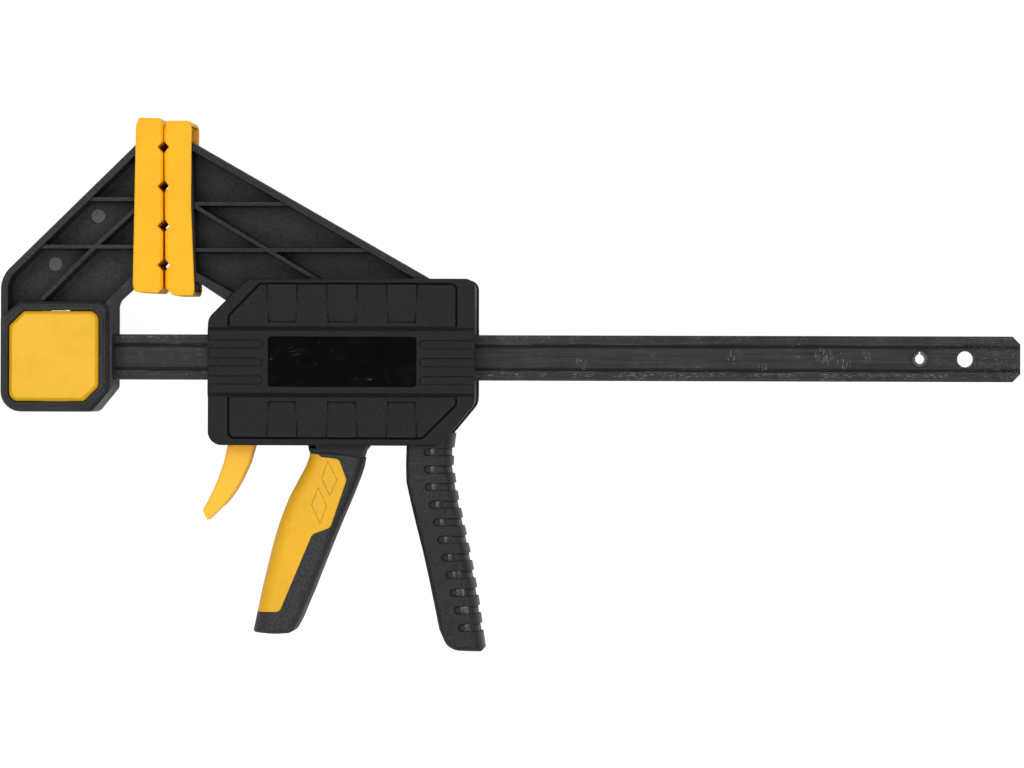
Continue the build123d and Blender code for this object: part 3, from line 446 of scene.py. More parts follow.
@dataclass(frozen=True)
class BlackenedBar(Look):
    """Hot-rolled bar with a black oxide skin that the sliding carriage has scratched.

    Rolling lines run along the bar. Short bright dashes lie on the two lands and thicken
    towards the free end, where rubbed metal has a warm tint, a few scuffs cross the web,
    and a painted shadow darkens the bar beside each step of the web.

    Attributes:
        middle: Place of the bar's centre line across the bar, in metres.
        end: Place of the bar's free end, in metres.
        skin: Colour of the oxide as sRGB hex.
        bare: Colour of bright scratches as sRGB hex.
        warm: Colour of rubbed metal near the end as sRGB hex.
        step_shadow: Colour of the painted shadow beside the steps of the web as sRGB hex.
        land_mm: Distance from the centre line to the lands.
        step_mm: Width of the painted shadow beside each step.
        upper_rim_mm: Distance from the centre line to the rubbed line along the upper land.
        lower_rim_mm: The same for the lower land, which is rubbed more.
        end_mm: Where the tint and the marks of the free end start and are full, from the end.
        rubs: Places where a clamped piece has rubbed the web: millimetres from the free end
            and above the centre line, radius, and strength.
        patch_mm: Size of the patches in which tone and marks gather.
        edge_mm: Radius of the bar's edges.
        line_depth_mm: Depth of the rolling lines.
        roughness: Roughness of the oxide.
        rolled: The rolling lines.
        strokes: Long marks.
        flecks: Shorter marks among them.
        dense: Fine marks along the rubbed lines.
        cross: Marks across the bar where it is rubbed.
        fine: Marks along the bar there.
    """

    middle: float
    end: float
    skin: str = "#2d2d2e"
    bare: str = "#a8a5a0"
    warm: str = "#c2a27c"
    step_shadow: str = "#050505"
    land_mm: float = 6.0
    step_mm: float = 1.5
    upper_rim_mm: float = 9.0
    lower_rim_mm: float = 7.3
    end_mm: tuple[float, float] = (60.0, 2.0)
    rubs: tuple[tuple[float, float, float, float], ...] = (
        (85.5, 1.0, 5.0, 0.8), (77.0, -1.0, 5.0, 0.6), (68.0, 1.0, 4.0, 0.4), (191.6, -2.4, 4.0, 1.0),
        (125.0, 0.5, 5.0, 0.7), (112.4, -4.6, 3.5, 0.9), (22.0, -1.0, 4.0, 0.6))
    patch_mm: float = 16.0
    edge_mm: float = 0.4
    line_depth_mm: float = 0.01
    roughness: float = 0.42
    rolled: Dashes = Dashes(0.6, (0.02, 1.0, 1.0), NOISE_LOW, NOISE_HIGH)
    strokes: Dashes = Dashes(0.4, (0.08, 1.0, 1.0), 0.6, 0.72)
    flecks: Dashes = Dashes(0.5, (0.35, 1.0, 1.0), 0.62, 0.7)
    dense: Dashes = Dashes(0.32, (0.16, 1.0, 1.0), 0.56, 0.68)
    cross: Dashes = Dashes(0.5, (1.0, 0.16, 1.0), 0.6, 0.66)
    fine: Dashes = Dashes(0.4, (0.2, 1.0, 1.0), 0.62, 0.7)

    def rubbed(self, nodes: Nodes) -> Socket:
        """Find where the web is rubbed.

        Each rub is full round its middle and fades to 0 at its radius, and the strongest
        one counts.

        Args:
            nodes: The tree.

        Returns:
            The output with the rubs' strength.
        """
        flat = nodes.add("VectorMath", {0: nodes.place, 1: (1, 1, 0)}, operation="MULTIPLY")["Vector"]
        levels = []
        for from_end, above, radius, strength in self.rubs:
            middle = (self.end - from_end * MM, self.middle + above * MM, 0)
            away = nodes.add("VectorMath", {0: flat, 1: middle}, operation="DISTANCE")["Value"]
            levels.append(nodes.ramp(away, radius * MM, radius * 0.3 * MM, 0.0, strength))
        return nodes.most(*levels)

    def marks(self, nodes: Nodes, across: Socket, near_end: Socket, patches: Socket) -> Socket:
        """Lay bright marks on the lands, the web and the free end.

        Args:
            nodes: The tree.
            across: Output with the distance from the centre line.
            near_end: Output with a level that rises to 1 at the free end.
            patches: Output with the patches.

        Returns:
            The output with the marks' strength.
        """
        land = nodes.ramp(across, (self.land_mm - 0.2) * MM, (self.land_mm + 0.2) * MM)
        upper = nodes.ramp(nodes.axes["Y"], self.middle - MM, self.middle + MM)
        rim_place = nodes.ramp(upper, 0.0, 1.0, self.lower_rim_mm * MM, self.upper_rim_mm * MM)
        rim = nodes.ramp(nodes.away(across, rim_place), 1.0 * MM, 0.4 * MM)
        strokes = self.strokes.level(nodes)
        short = nodes.most(strokes, self.flecks.level(nodes))
        scattered = nodes.times(short, nodes.ramp(patches, 0.45, 0.6))
        in_line = nodes.times(self.dense.level(nodes), rim, nodes.ramp(patches, 0.42, 0.56))
        on_land = nodes.times(land, nodes.ramp(upper, 0.0, 1.0, 1.0, 0.4),
                              nodes.most(nodes.times(scattered, 0.6), in_line))
        at_end = nodes.times(short, near_end)
        scuffs = nodes.most(self.cross.level(nodes), nodes.times(self.fine.level(nodes), 0.7))
        on_web = nodes.most(nodes.times(scuffs, self.rubbed(nodes)),
                            nodes.times(strokes, 0.35, nodes.ramp(patches, 0.52, 0.62)))
        return nodes.most(nodes.times(on_land, 0.9), nodes.times(at_end, 0.3), nodes.times(on_web, 0.9))

    def inputs(self, nodes: Nodes) -> dict:
        """Work out the shader's inputs.

        Args:
            nodes: The tree.

        Returns:
            The inputs by name.
        """
        across = nodes.away(nodes.axes["Y"], self.middle)
        near_end = nodes.ramp(nodes.axes["X"], *(self.end - place * MM for place in self.end_mm))
        # Painted shadow: a dark line along each step beside the web.
        off_step = nodes.away(across, (self.land_mm - self.step_mm / 2) * MM)
        step = nodes.ramp(off_step, self.step_mm * 0.8 * MM, self.step_mm * 0.45 * MM)
        patches = nodes.noise(self.patch_mm, 5.0, 0.75, 0.6)
        rolled = self.rolled.level(nodes)
        rounded, match = nodes.edges(self.edge_mm)
        edge = nodes.times(nodes.ramp(match, EDGE_START, 0.85), nodes.ramp(rolled, 0.35, 0.7))
        bright = nodes.most(self.marks(nodes, across, near_end, patches), nodes.times(edge, 0.6))
        tone = nodes.times(nodes.swing(patches, 0.8, 1.2), nodes.ramp(rolled, 0.0, 1.0, 0.85, 1.15))
        shadowed_skin = nodes.blend(step, nodes.tinted(self.skin, tone), self.step_shadow)
        metal = nodes.blend(nodes.times(near_end, 0.5), self.bare, self.warm)
        return {
            "Base Color": nodes.blend(bright, shadowed_skin, metal),
            "Metallic": nodes.ramp(bright, 0.0, 1.0, 0.25, 1.0),
            "Normal": nodes.bump(rolled, self.line_depth_mm, rounded),
            "Roughness": nodes.ramp(rolled, 0.0, 1.0, self.roughness - 0.05, self.roughness + 0.08)}


@dataclass(frozen=True)
class PolishedPlate(Look):
    """Polished polycarbonate plate, which shows a deep black with hair-fine arcs and finger marks.

    Attributes:
        colour: Colour of the plate as sRGB hex.
        scratch: Colour of its scratches as sRGB hex.
        scratches: Share of that colour in a scratch.
        scratch_mm: Width of a scratch.
        bend_mm: Size of the bends in the scratches.
        finger_mm: Size of the finger marks.
    """

    colour: str
    scratch: str
    scratches: float = 0.12
    scratch_mm: float = 0.9
    bend_mm: float = 22.0
    finger_mm: float = 11.0

    def inputs(self, nodes: Nodes) -> dict:
        """Work out the shader's inputs.

        Args:
            nodes: The tree.

        Returns:
            The inputs by name.
        """
        bent = nodes.add("TexNoise", {"Vector": nodes.place, "Scale": 1 / (self.bend_mm * MM), "Detail": 1.0})
        swayed = nodes.add("VectorMath", {0: bent["Color"], 1: (0.02, 0.02, 0.02), 2: nodes.place},
                           operation="MULTIPLY_ADD")["Vector"]
        along = nodes.add("Mapping", {"Vector": swayed, "Scale": (0.06, 1.0, 1.0), "Rotation": (0, 0, 0.5)})
        arcs = nodes.noise(self.scratch_mm, 1.0, place=along["Vector"])
        fingers = nodes.noise(self.finger_mm, 3.0, distortion=1.2)
        cut = nodes.times(nodes.ramp(arcs, 0.7, 0.78), nodes.ramp(fingers, 0.5, 0.6))
        return {
            "Base Color": nodes.blend(nodes.times(cut, self.scratches), self.colour, self.scratch),
            "Roughness": nodes.ramp(fingers, 0.4, 0.75, 0.06, 0.18)}


class Finish(Enum):
    """Every finish of the clamp, apart from the bar's own."""

    # Glass fibres reach the surface of this nylon, so it is grey-black, grainy and mottled
    JAW_NYLON = MouldedPlastic(
        "glass_filled_nylon_black", "#272728", "#5c5c5c", "#060606", grain_mm=0.8, grain_depth_mm=0.06,
        corner_shade_share=0.9, mottle=0.22, speckle=0.5, scuffs=0.3)
    # The same nylon from a mould with a finer and darker face, on the carriage
    FRAME_NYLON = replace(JAW_NYLON, name="glass_filled_nylon_dark", colour="#202021", worn_and_highlight="#565656")
    # Spark-eroded mould, which gives an even, fine and quite flat black
    COVER_NYLON = MouldedPlastic(
        "fine_grained_nylon_black", "#141415", "#404040", "#050505", roughness=0.55, specular=0.35,
        grain_mm=0.8, grain_depth_mm=0.04, edge_mm=0.25, edge_paling=0.45, corner_shade_share=1.0, speckle=0.5, scuffs=0.18)
    # Soft black rubber, which scatters light and so looks paler than the hard nylon
    GRIP_RUBBER = MouldedPlastic(
        "soft_touch_rubber_black", "#2d2d2e", "#505050", "#101010", roughness=0.62, grain_mm=0.8,
        grain_depth_mm=0.05, edge_mm=0.7, edge_paling=0.35, mottle=0.12, speckle=0.5, scuffs=0.15)
    # Yellow rubber of the ribs deep in the moving pad, painted paler and lighter than the pads as a painted
    # glow for light shining through thin rubber
    LIT_THIN_RUBBER = MouldedPlastic(
        "painted_glow_rubber_orange", "#ffb03c", "#ffd080", "#d87818", roughness=0.4, edge_mm=0.3, corner_shade_share=0.1,
        mottle=0.05, speckle=0.05)
    # Clean yellow rubber pads, satin, with painted amber shade in their grooves
    PAD_RUBBER = MouldedPlastic(
        "thermoplastic_rubber_yellow", "#f4b00c", "#ffc03a", "#b8641c", roughness=0.45, specular=0.28,
        grain_mm=1.2, grain_depth_mm=0.01, edge_mm=1.5, edge_paling=0.3, corner_shade_mm=2.5, mottle=0.03, speckle=0.03,
        glow=0.5, glow_mm=2.5)
    # Glossier yellow of the moulded button, a little paler than the pads
    BUTTON_PLASTIC = MouldedPlastic(
        "polypropylene_yellow", "#e2ad20", "#f2ae2a", "#7a4206", roughness=0.34, grain_mm=1.0,
        grain_depth_mm=0.008, edge_mm=0.6, edge_paling=0.2, mottle=0.04, speckle=0.03)
    # Yellow nylon of the lever, bright and glossy, with pale rubbed edges
    LEVER_PLASTIC = MouldedPlastic(
        "nylon_yellow", "#fcb82a", "#ffcc66", "#a86408", roughness=0.36, grain_mm=1.0, grain_depth_mm=0.01,
        edge_mm=0.7, edge_paling=0.4, corner_shade_share=0.3, mottle=0.03, speckle=0.03)
    # Soft rubber over the fingers' side of the handle, duller and a little greener than the pads
    INLAY_RUBBER = MouldedPlastic(
        "soft_touch_rubber_yellow", "#dda61a", "#eeb83c", "#8f5406", specular=0.3, grain_mm=0.8,
        grain_depth_mm=0.012, edge_mm=0.7, edge_paling=0.35, corner_shade_share=0.5, mottle=0.05, speckle=0.05)
    # Textured insets, whose fine ridges look matt and pale
    INSET_RUBBER = MouldedPlastic(
        "textured_rubber_yellow", "#dcac30", "#e6c05a", "#8f6210", roughness=0.7, specular=0.3,
        grain_mm=0.7, grain_depth_mm=0.03, edge_mm=0.2, edge_paling=0.3, corner_shade_share=0.5, mottle=0.05, speckle=0.08)
    # Rubbed by the hand until it shines, on the fixed grip's flutes
    FLUTE_NYLON = MouldedPlastic(
        "rubbed_nylon_black", "#262627", "#606060", "#0a0a0a", roughness=0.2, specular=0.7,
        grain_depth_mm=0.008, edge_mm=0.3, edge_paling=0.4, speckle=0.3)
    # Polished pin ends press the melt, which leaves pale, dull round marks
    EJECTOR_MARK = MouldedPlastic(
        "pressed_nylon_grey", "#58585a", "#707070", "#303030", roughness=0.65, edge_mm=0.1, edge_paling=0.3,
        mottle=0.15, speckle=0.2)
    # Fainter marks of the same kind, hardly paler than the nylon round them
    FAINT_MARK = replace(EJECTOR_MARK, name="pressed_nylon_black", colour="#303031", worn_and_highlight="#484848",
                         corner_shade="#151515", roughness=0.6)
    # Ground and hardened plate, with a grain that runs across the bar
    PLATE_STEEL = Steel("hardened_steel", "#6a6a6c", "#b4b4b4", roughness=0.32, run=(1.0, 30.0, 1.0))
    # Drawn wire, smooth and bright
    SPRING_STEEL = Steel("spring_wire", "#8c8c8c", "#c8c8c8", roughness=0.28, edge_paling=0.0)
    # Turned pin, bright, with lines round it
    PIN_STEEL = Steel("plain_steel_pin", "#8f8f8e", "#d0d0ce", roughness=0.26, run=(1.0, 1.0, 20.0))
    # Black zinc over steel, rubbed at the cross recess
    SCREW_STEEL = Steel("zinc_black_screw", "#3c3c3e", "#9a9a9a", metallic=0.8)
    # Clear polished plate over black, which mirrors what hangs above it
    LABEL = PolishedPlate("polished_polycarbonate_black", "#070707", "#8a8a8a")


# ---------------------------------------------------------------- surfaces


def grid_faces(rows: int, columns: int, wrap: tuple[int, int] = (0, 0)) -> np.ndarray:
    """List the quads of a grid whose points are numbered row by row.

    Args:
        rows: Number of rows of points.
        columns: Number of points in each row.
        wrap: 1 where the last row meets the first, and 1 where the last column does.

    Returns:
        Four point numbers for each quad.
    """
    index = np.arange(rows * columns).reshape(rows, columns)
    index = np.pad(index, ((0, wrap[0]), (0, wrap[1])), mode="wrap")
    return np.stack((index[:-1, :-1], index[1:, :-1], index[1:, 1:], index[:-1, 1:]), axis=-1).reshape(-1, 4)


def tube(grid: np.ndarray) -> Shape:
    """Close a grid whose columns run round a tube, with one face over each end.

    Args:
        grid: Points, rows by columns by 3.

    Returns:
        The points and the faces.
    """
    rows, columns = grid.shape[:2]
    index = np.arange(rows * columns).reshape(rows, columns)
    walls = grid_faces(rows, columns, (0, 1)).tolist()
    return grid.reshape(-1, 3), walls + [index[0].tolist(), index[-1, ::-1].tolist()]


def turned(profile: np.ndarray, centre: tuple[float, float, float], sides: int) -> Shape:
    """Turn a profile round an upright axis.

    Point (i, j) is centre + (r_i cos a_j, r_i sin a_j, z_i), with a_j = 2 pi j / sides. The
    profile starts and ends on the axis, and each of those ends is one point.

    Args:
        profile: Radius and height of each point of the profile, from the top down.
        centre: Where the axis meets height 0.
        sides: Number of steps round the axis.

    Returns:
        The points and the faces.
    """
    angle = np.linspace(0, 2 * np.pi, sides, endpoint=False)
    radius, height = profile[1:-1].T[..., None]
    rings = np.stack(np.broadcast_arrays(radius * np.cos(angle), radius * np.sin(angle), height), axis=-1)
    points = np.vstack((rings.reshape(-1, 3), [(0, 0, profile[0, 1]), (0, 0, profile[-1, 1])])) + centre
    first = np.arange(sides)
    last = first + len(points) - 2 - sides
    top = np.stack((np.full(sides, len(points) - 2), first, np.roll(first, -1)), axis=-1)
    base = np.stack((np.full(sides, len(points) - 1), np.roll(last, -1), last), axis=-1)
    return points, grid_faces(len(profile) - 2, sides, (0, 1)).tolist() + top.tolist() + base.tolist()


def closed_sheet(flat: np.ndarray, top: np.ndarray, base: np.ndarray | float) -> Shape:
    """Fill the room between two levels over one grid, with a wall along each of its sides.

    Args:
        flat: Place of each point along and across, rows by columns by 2.
        top: Upper level of each point.
        base: Lower level of each point, or of all.

    Returns:
        The points and the faces.
    """
    points = np.vstack([np.dstack((flat, level)).reshape(-1, 3) for level in (top, np.full_like(top, base))])
    upper = grid_faces(*top.shape)
    index = np.arange(top.size).reshape(top.shape)
    rim = np.concatenate((index[:-1, 0], index[-1, :-1], index[:0:-1, -1], index[0, :0:-1]))
    after = np.roll(rim, -1)
    walls = np.stack((rim, rim + top.size, after + top.size, after), axis=-1)
    return points, np.vstack((upper, upper[:, ::-1] + top.size, walls)).tolist()


def together(shells: list[Shape]) -> Shape:
    """Join shells, whose faces then count the points of the shells before them.

    Args:
        shells: Points and faces of each shell.

    Returns:
        The points and the faces of all of them.
    """
    faces, start = [], 0
    for points, shell_faces in shells:
        faces += [[corner + start for corner in face] for face in shell_faces]
        start += len(points)
    return np.vstack([points for points, _ in shells]), faces


def rounded_outline(corners: np.ndarray, steps: int) -> np.ndarray:
    """Round every corner of a closed convex outline with its own radius.

    An arc's centre lies on its corner's bisector, radius / sin(half angle) away, and the arc
    touches both sides radius / tan(half angle) away from the corner. Its points turn evenly
    from one touching point to the other.

    Args:
        corners: Place and radius of each corner, in order.
        steps: Number of points on each arc.

    Returns:
        The points of the outline, one row each.
    """
    places, radius = corners[:, :2], corners[:, 2:]
    back = np.roll(places, 1, axis=0) - places
    ahead = np.roll(places, -1, axis=0) - places
    back /= np.linalg.norm(back, axis=1, keepdims=True)
    ahead /= np.linalg.norm(ahead, axis=1, keepdims=True)
    half = np.arccos((back * ahead).sum(axis=1, keepdims=True)) / 2
    middle = (back + ahead) / np.linalg.norm(back + ahead, axis=1, keepdims=True)
    centre = places + middle * radius / np.sin(half)
    start = places + back * radius / np.tan(half) - centre
    end = places + ahead * radius / np.tan(half) - centre
    sweep = (np.pi - 2 * half)[..., None]
    share = np.linspace(0, 1, steps)[None, :, None]
    arcs = start[:, None] * np.sin((1 - share) * sweep) + end[:, None] * np.sin(share * sweep)
    return (centre[:, None] + arcs / np.sin(sweep)).reshape(-1, 2)


def slab(low: tuple[float, float, float], high: tuple[float, float, float], edge: float) -> Shape:
    """Make a thin flat box with small chamfers all round.

    Its outline is a rectangle, and the rows of its grid are that rectangle shrunk by the
    edge at the base and the top and full size between them.

    Args:
        low: Its lowest corner.
        high: Its highest corner.
        edge: Size of the chamfers.

    Returns:
        The points and the faces.
    """
    corners = np.array([(low[0], low[1]), (high[0], low[1]), (high[0], high[1]), (low[0], high[1])])
    inward = np.array([(1, 1), (-1, 1), (-1, -1), (1, -1)]) * edge
    rows = ((1, low[2]), (0, low[2] + edge), (0, high[2] - edge), (1, high[2]))
    return tube(np.stack([np.column_stack((corners + inward * shrunk, np.full(4, level)))
                          for shrunk, level in rows]))


def put(name: str, data: bpy.types.Mesh | bpy.types.Light | bpy.types.Camera) -> bpy.types.Object:
    """Put a new object into the scene.

    Args:
        name: Name of the object.
        data: Its mesh, lamp or camera.

    Returns:
        The object.
    """
    thing = bpy.data.objects.new(name, data)
    bpy.context.scene.collection.objects.link(thing)
    return thing


def make_piece(name: str, shape: Shape, crease: float = CREASE) -> bpy.types.Object:
    """Make a smooth-shaded object that keeps its sharp corners.

    Args:
        name: Name of the piece.
        shape: Its points in metres and its faces.
        crease: Angle in degrees past which an edge stays sharp.

    Returns:
        The object, in the scene.
    """
    mesh = bpy.data.meshes.new(name)
    mesh.from_pydata(shape[0].tolist(), [], shape[1])
    shell = bmesh.new()
    shell.from_mesh(mesh)
    bmesh.ops.recalc_face_normals(shell, faces=shell.faces)
    shell.to_mesh(mesh)
    shell.free()
    mesh.polygons.foreach_set("use_smooth", np.ones(len(mesh.polygons), dtype=bool))
    mesh.set_sharp_from_angle(angle=math.radians(crease))
    return put(name, mesh)


# ---------------------------------------------------------------- workshop


class Workshop:
    """Holds the frame and the built materials, and makes and dresses pieces."""

    def __init__(self, frame: dict) -> None:
        """Take the frame and find the clamp's own datum in it.
        """
        self.nodes: dict[str, bpy.types.Object] = frame["nodes"]
        low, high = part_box("bar")
        self.bar_end = high.x
        self.datum = Vector((low.x - BAR_LEFT_MM * MM, (low.y + high.y) / 2, (low.z + high.z) / 2))
        self.built: dict[Finish, bpy.types.Material] = {}

    def material(self, finish: Finish) -> bpy.types.Material:
        """Give a finish's material, building it at its first use.

        Args:
            finish: The finish.

        Returns:
            Its material.
        """
        if finish not in self.built:
            self.built[finish] = finish.value.build()
        return self.built[finish]

    def dress(self, piece: bpy.types.Object, material: bpy.types.Material) -> None:
        """Put one material all over a piece.

        Args:
            piece: The piece.
            material: Its material.
        """
        piece.data.materials.clear()
        piece.data.materials.append(material)
        LOG.info("  %s: %s", piece.name, material.name)

    def fit(self, piece: bpy.types.Object, body: str, finish: Finish) -> None:
        """Dress a new piece and let it ride on a body.

        Args:
            piece: The piece.
            body: Name of the body.
            finish: Its finish.
        """
        self.dress(piece, self.material(finish))
        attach(piece, body)

    def trim(self, name: str, shape: Shape, body: str, slot: str, finish: Finish,
             crease: float = CREASE) -> None:
        """Make a piece from a shape in the maker's millimetres and fit it.

        Args:
            name: Name of the piece.
            shape: Its points and faces.
            body: Name of the body that it rides on.
            slot: Name of the record's material slot; not used.
            finish: Its finish.
            crease: Angle in degrees past which an edge stays sharp.
        """
        points, faces = shape
        piece = make_piece(name, (points * MM + np.array(self.datum), faces), crease)
        self.fit(piece, body, finish)


@dataclass(frozen=True)
class CoilSpring:
    """Compression spring with ground, closed ends.

    Attributes:
        node: Name of the frame's node that it stands for.
        body: Name of the body that its fixed end stands on.
        joint: Name of the joint that compresses it; not used.
        axis: Direction from its moving end to its fixed end.
        wire: Diameter of its wire, in millimetres.
        turns: Number of turns, with the closed ones.
        travel: How far the joint's limit compresses it, in millimetres; not used.
        closed: Number of turns at each end that are wound close.
        creep: Share of the rise that is spread evenly over all turns.
        steps: Points along one turn and round the wire.
    """

    node: str
    body: str
    joint: str
    axis: tuple[float, float, float]
    wire: float
    turns: float
    travel: float
    closed: float = 0.6
    creep: float = 0.08
    steps: tuple[int, int] = (36, 10)

    def surface(self, radius: float, length: float) -> Shape:
        """Sweep the wire along the spring's helix, which starts at the fixed end.

        With s from 0 to 1 along the wire, the middle of the wire is at (R cos a, R sin a, h)
        with a = 2 pi turns s. Its height h rises from half a wire to the length less half a
        wire, slowly over the closed turns and evenly between them.

        Args:
            radius: Radius of the helix, in metres.
            length: Length of the spring over its ends, in metres.

        Returns:
            The points and the faces.
        """
        s = np.linspace(0, 1, round(self.turns * self.steps[0]) + 1)[:, None]
        angle = 2 * np.pi * self.turns * s
        eased = np.clip((s - self.closed / self.turns) / (1 - 2 * self.closed / self.turns), 0, 1)
        half = self.wire * MM / 2
        height = half + (length - 2 * half) * (self.creep * s + (1 - self.creep) * eased)
        turn = np.linspace(0, 2 * np.pi, self.steps[1], endpoint=False)
        reach = radius + half * np.cos(turn)
        return tube(np.dstack((reach * np.cos(angle), reach * np.sin(angle), height + half * np.sin(turn))))

    def build(self, shop: Workshop) -> None:
        """Make the spring in its node's place, hide the node and let the spring ride on its body.

        Args:
            shop: The workshop.
        """
        low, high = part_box(self.node)
        axis = Vector(self.axis)
        half = (high - low) / 2
        length = 2 * abs(half.dot(axis))
        anchor = (low + high) / 2 + axis * length / 2
        upright = np.array((-axis).to_track_quat("Z", "Y").to_matrix())
        points, faces = self.surface(half.y - self.wire * MM / 2, length)
        piece = make_piece(f"{self.node}_coil", (points @ upright.T + np.array(anchor), faces), FINE_CREASE)
        shop.fit(piece, self.body, Finish.SPRING_STEEL)
        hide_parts(self.node)
        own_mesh(piece)


# ---------------------------------------------------------------- sub-assemblies


@dataclass
class SubAssembly:
    """Pieces of the clamp that are dressed together.

    Attributes:
        shop: The workshop that makes and dresses them.
        title: What the sub-assembly is called in the log.
        finishes: The finish of each node that is shown as the frame has it.
        springs: The springs that are drawn in their nodes' places.
    """

    shop: Workshop
    title: str
    finishes: dict[str, Finish]
    springs: tuple[CoilSpring, ...] = ()

    def details(self) -> None:
        """Add pieces that the frame doesn't have: none, for a plain sub-assembly."""

    def build(self) -> None:
        """Dress every node, draw the springs and add the details."""
        LOG.info("building %s", self.title)
        for name, finish in self.finishes.items():
            self.shop.dress(self.shop.nodes[name], self.shop.material(finish))
        for spring in self.springs:
            spring.build(self.shop)
        self.details()


@dataclass
class Bar(SubAssembly):
    """Blackened steel bar and its stop pin."""

    title: str = "bar"
    finishes: dict[str, Finish] = field(default_factory=lambda: {"stop_pin": Finish.PIN_STEEL})

    def details(self) -> None:
        """Give the bar its own finish, which follows its lands and its end."""
        skin = BlackenedBar("rolled_steel_black_oxide", middle=self.shop.datum.y, end=self.shop.bar_end)
        self.shop.dress(self.shop.nodes["bar"], skin.build())


@dataclass
class FixedJaw(SubAssembly):
    """Fixed jaw with its pad, its button and its latch.

    Attributes:
        marks: Name, middle and finish of each mark of the mould's ejector pins.
        mark_radius: Radius of those marks.
        mark_floor: Height of their floor.
        mark_rise: How far a mark bulges in its middle.
        ripple_rise: Height of the fine rings on a mark.
        mark_foot: How deep a mark's foot lies in the floor.
        button: Left, base, right and top of the button.
        button_cut: Size of its two cut corners.
        rim_level: Height of the block's rim.
        bead_span: Distances from the button to the inner and the outer side of its bead.
        bead_rise: Height of the bead's crown over the rim.
        bead_rounds: Radii of the crown's inner and outer side.
        bead_foot: How deep the bead's foot lies in the rim.
        bead_corners: Radii of the button's square corners and of its cut ones.
        lips: Name, base, top and level of each thin lip that narrows a slot beside the
            button's legs.
        lip_half: Half the length of those lips.
        lip_height: Their thickness.
        lip_edge: Size of their chamfers.
    """

    title: str = "fixed jaw"
    finishes: dict[str, Finish] = field(default_factory=lambda: {
        "fixed_jaw": Finish.JAW_NYLON, "fixed_pad": Finish.PAD_RUBBER,
        "push_button": Finish.BUTTON_PLASTIC, "latch_pin": Finish.PLATE_STEEL})
    springs: tuple[CoilSpring, ...] = (
        CoilSpring("button_spring", "bar", "button_press", (0, 0, -1), 0.9, 4.5, 3.6),)
    marks: tuple[tuple[str, float, float, Finish], ...] = (
        ("ejector_mark_0", -30.4, 62.2, Finish.EJECTOR_MARK),
        ("ejector_mark_1", -49.4, 40.9, Finish.EJECTOR_MARK),
        ("faint_mark_0", -14.2, 80.3, Finish.FAINT_MARK), ("faint_mark_1", -19.0, 44.5, Finish.FAINT_MARK))
    mark_radius: float = 3.0
    mark_floor: float = 1.25
    mark_rise: float = 0.12
    ripple_rise: float = 0.02
    mark_foot: float = 0.05
    button: tuple[float, float, float, float] = (-67.9, -19.6, -28.3, 20.0)
    button_cut: float = 6.5
    rim_level: float = 15.0
    bead_span: tuple[float, float] = (0.5, 2.2)
    bead_rise: float = 0.5
    bead_rounds: tuple[float, float] = (0.25, 0.35)
    bead_foot: float = 0.25
    bead_corners: tuple[float, float] = (4.0, 2.0)
    lips: tuple[tuple[str, float, float, float], ...] = (
        ("slot_lip_top", 20.2, 21.0, 13.5), ("slot_lip_base", -19.8, -19.66, -10.0))
    lip_half: float = 5.6
    lip_height: float = 1.0
    lip_edge: float = 0.02

    def surround(self) -> Shape:
        """Make the low bead that runs round the button's opening.

        Its section goes up the inner side, over a crown and down the outer side, and the
        outline of every row is the button's outline grown by that row's distance.

        Returns:
            The points and the faces.
        """
        (near, far), (small, large) = self.bead_span, self.bead_rounds
        turn = np.linspace(0, np.pi / 2, 6)
        flat, steep = 1 - np.cos(turn), 1 - np.sin(turn)
        inner = np.column_stack((near + small * flat, self.bead_rise - small * steep))
        outer = np.column_stack((far - large * steep, self.bead_rise - large * flat))
        section = np.vstack(([(near, -self.bead_foot)], inner, outer, [(far + 0.1, -self.bead_foot)]))
        rows = []
        for grown, rise in section:
            left, base, right, top = np.array(self.button) + np.array((-1, -1, 1, 1)) * grown
            # A 45 degree cut grows by about 0.6 where its outline grows by 1
            cut = self.button_cut + grown * 0.6
            corner, bend = np.array(self.bead_corners) + grown
            outline = rounded_outline(np.array([
                (left, base, corner), (right - cut, base, bend), (right, base + cut, bend),
                (right, top, corner), (left + cut, top, bend), (left, top - cut, bend)]), 9)
            rows.append(np.column_stack((outline, np.full(len(outline), self.rim_level + rise))))
        return np.vstack(rows), grid_faces(len(rows), len(rows[0]), (1, 1)).tolist()

    def mark(self, x_mm: float, y_mm: float) -> Shape:
        """Make one low round mark.

        Its height over the radius r is rise (1 - (r / R) squared) plus a ripple of fine rings.

        Args:
            x_mm: Its middle along the bar.
            y_mm: Its middle across the bar.

        Returns:
            The points and the faces.
        """
        share = np.linspace(0, 1, 19)
        height = self.mark_rise * (1 - share ** 2) + self.ripple_rise * np.cos(share * 12 * np.pi)
        crown = np.stack((share * self.mark_radius, height), axis=-1)
        foot = [(self.mark_radius, -self.mark_foot), (0, -self.mark_foot)]
        return turned(np.vstack((crown, foot)), (x_mm, y_mm, self.mark_floor), 40)

    def details(self) -> None:
        """Add the bead round the button, the slots' lips and the ejector pins' marks."""
        middle = (self.button[0] + self.button[2]) / 2
        left, right = middle - self.lip_half, middle + self.lip_half
        shapes = {"button_surround": self.surround()}
        for name, base, top, level in self.lips:
            shapes[name] = slab((left, base, level), (right, top, level + self.lip_height), self.lip_edge)
        for name, shape in shapes.items():
            self.shop.trim(name, shape, "bar", "black_nylon", Finish.JAW_NYLON)
        for name, x_mm, y_mm, finish in self.marks:
            self.shop.trim(name, self.mark(x_mm, y_mm), "bar", "black_nylon", finish)


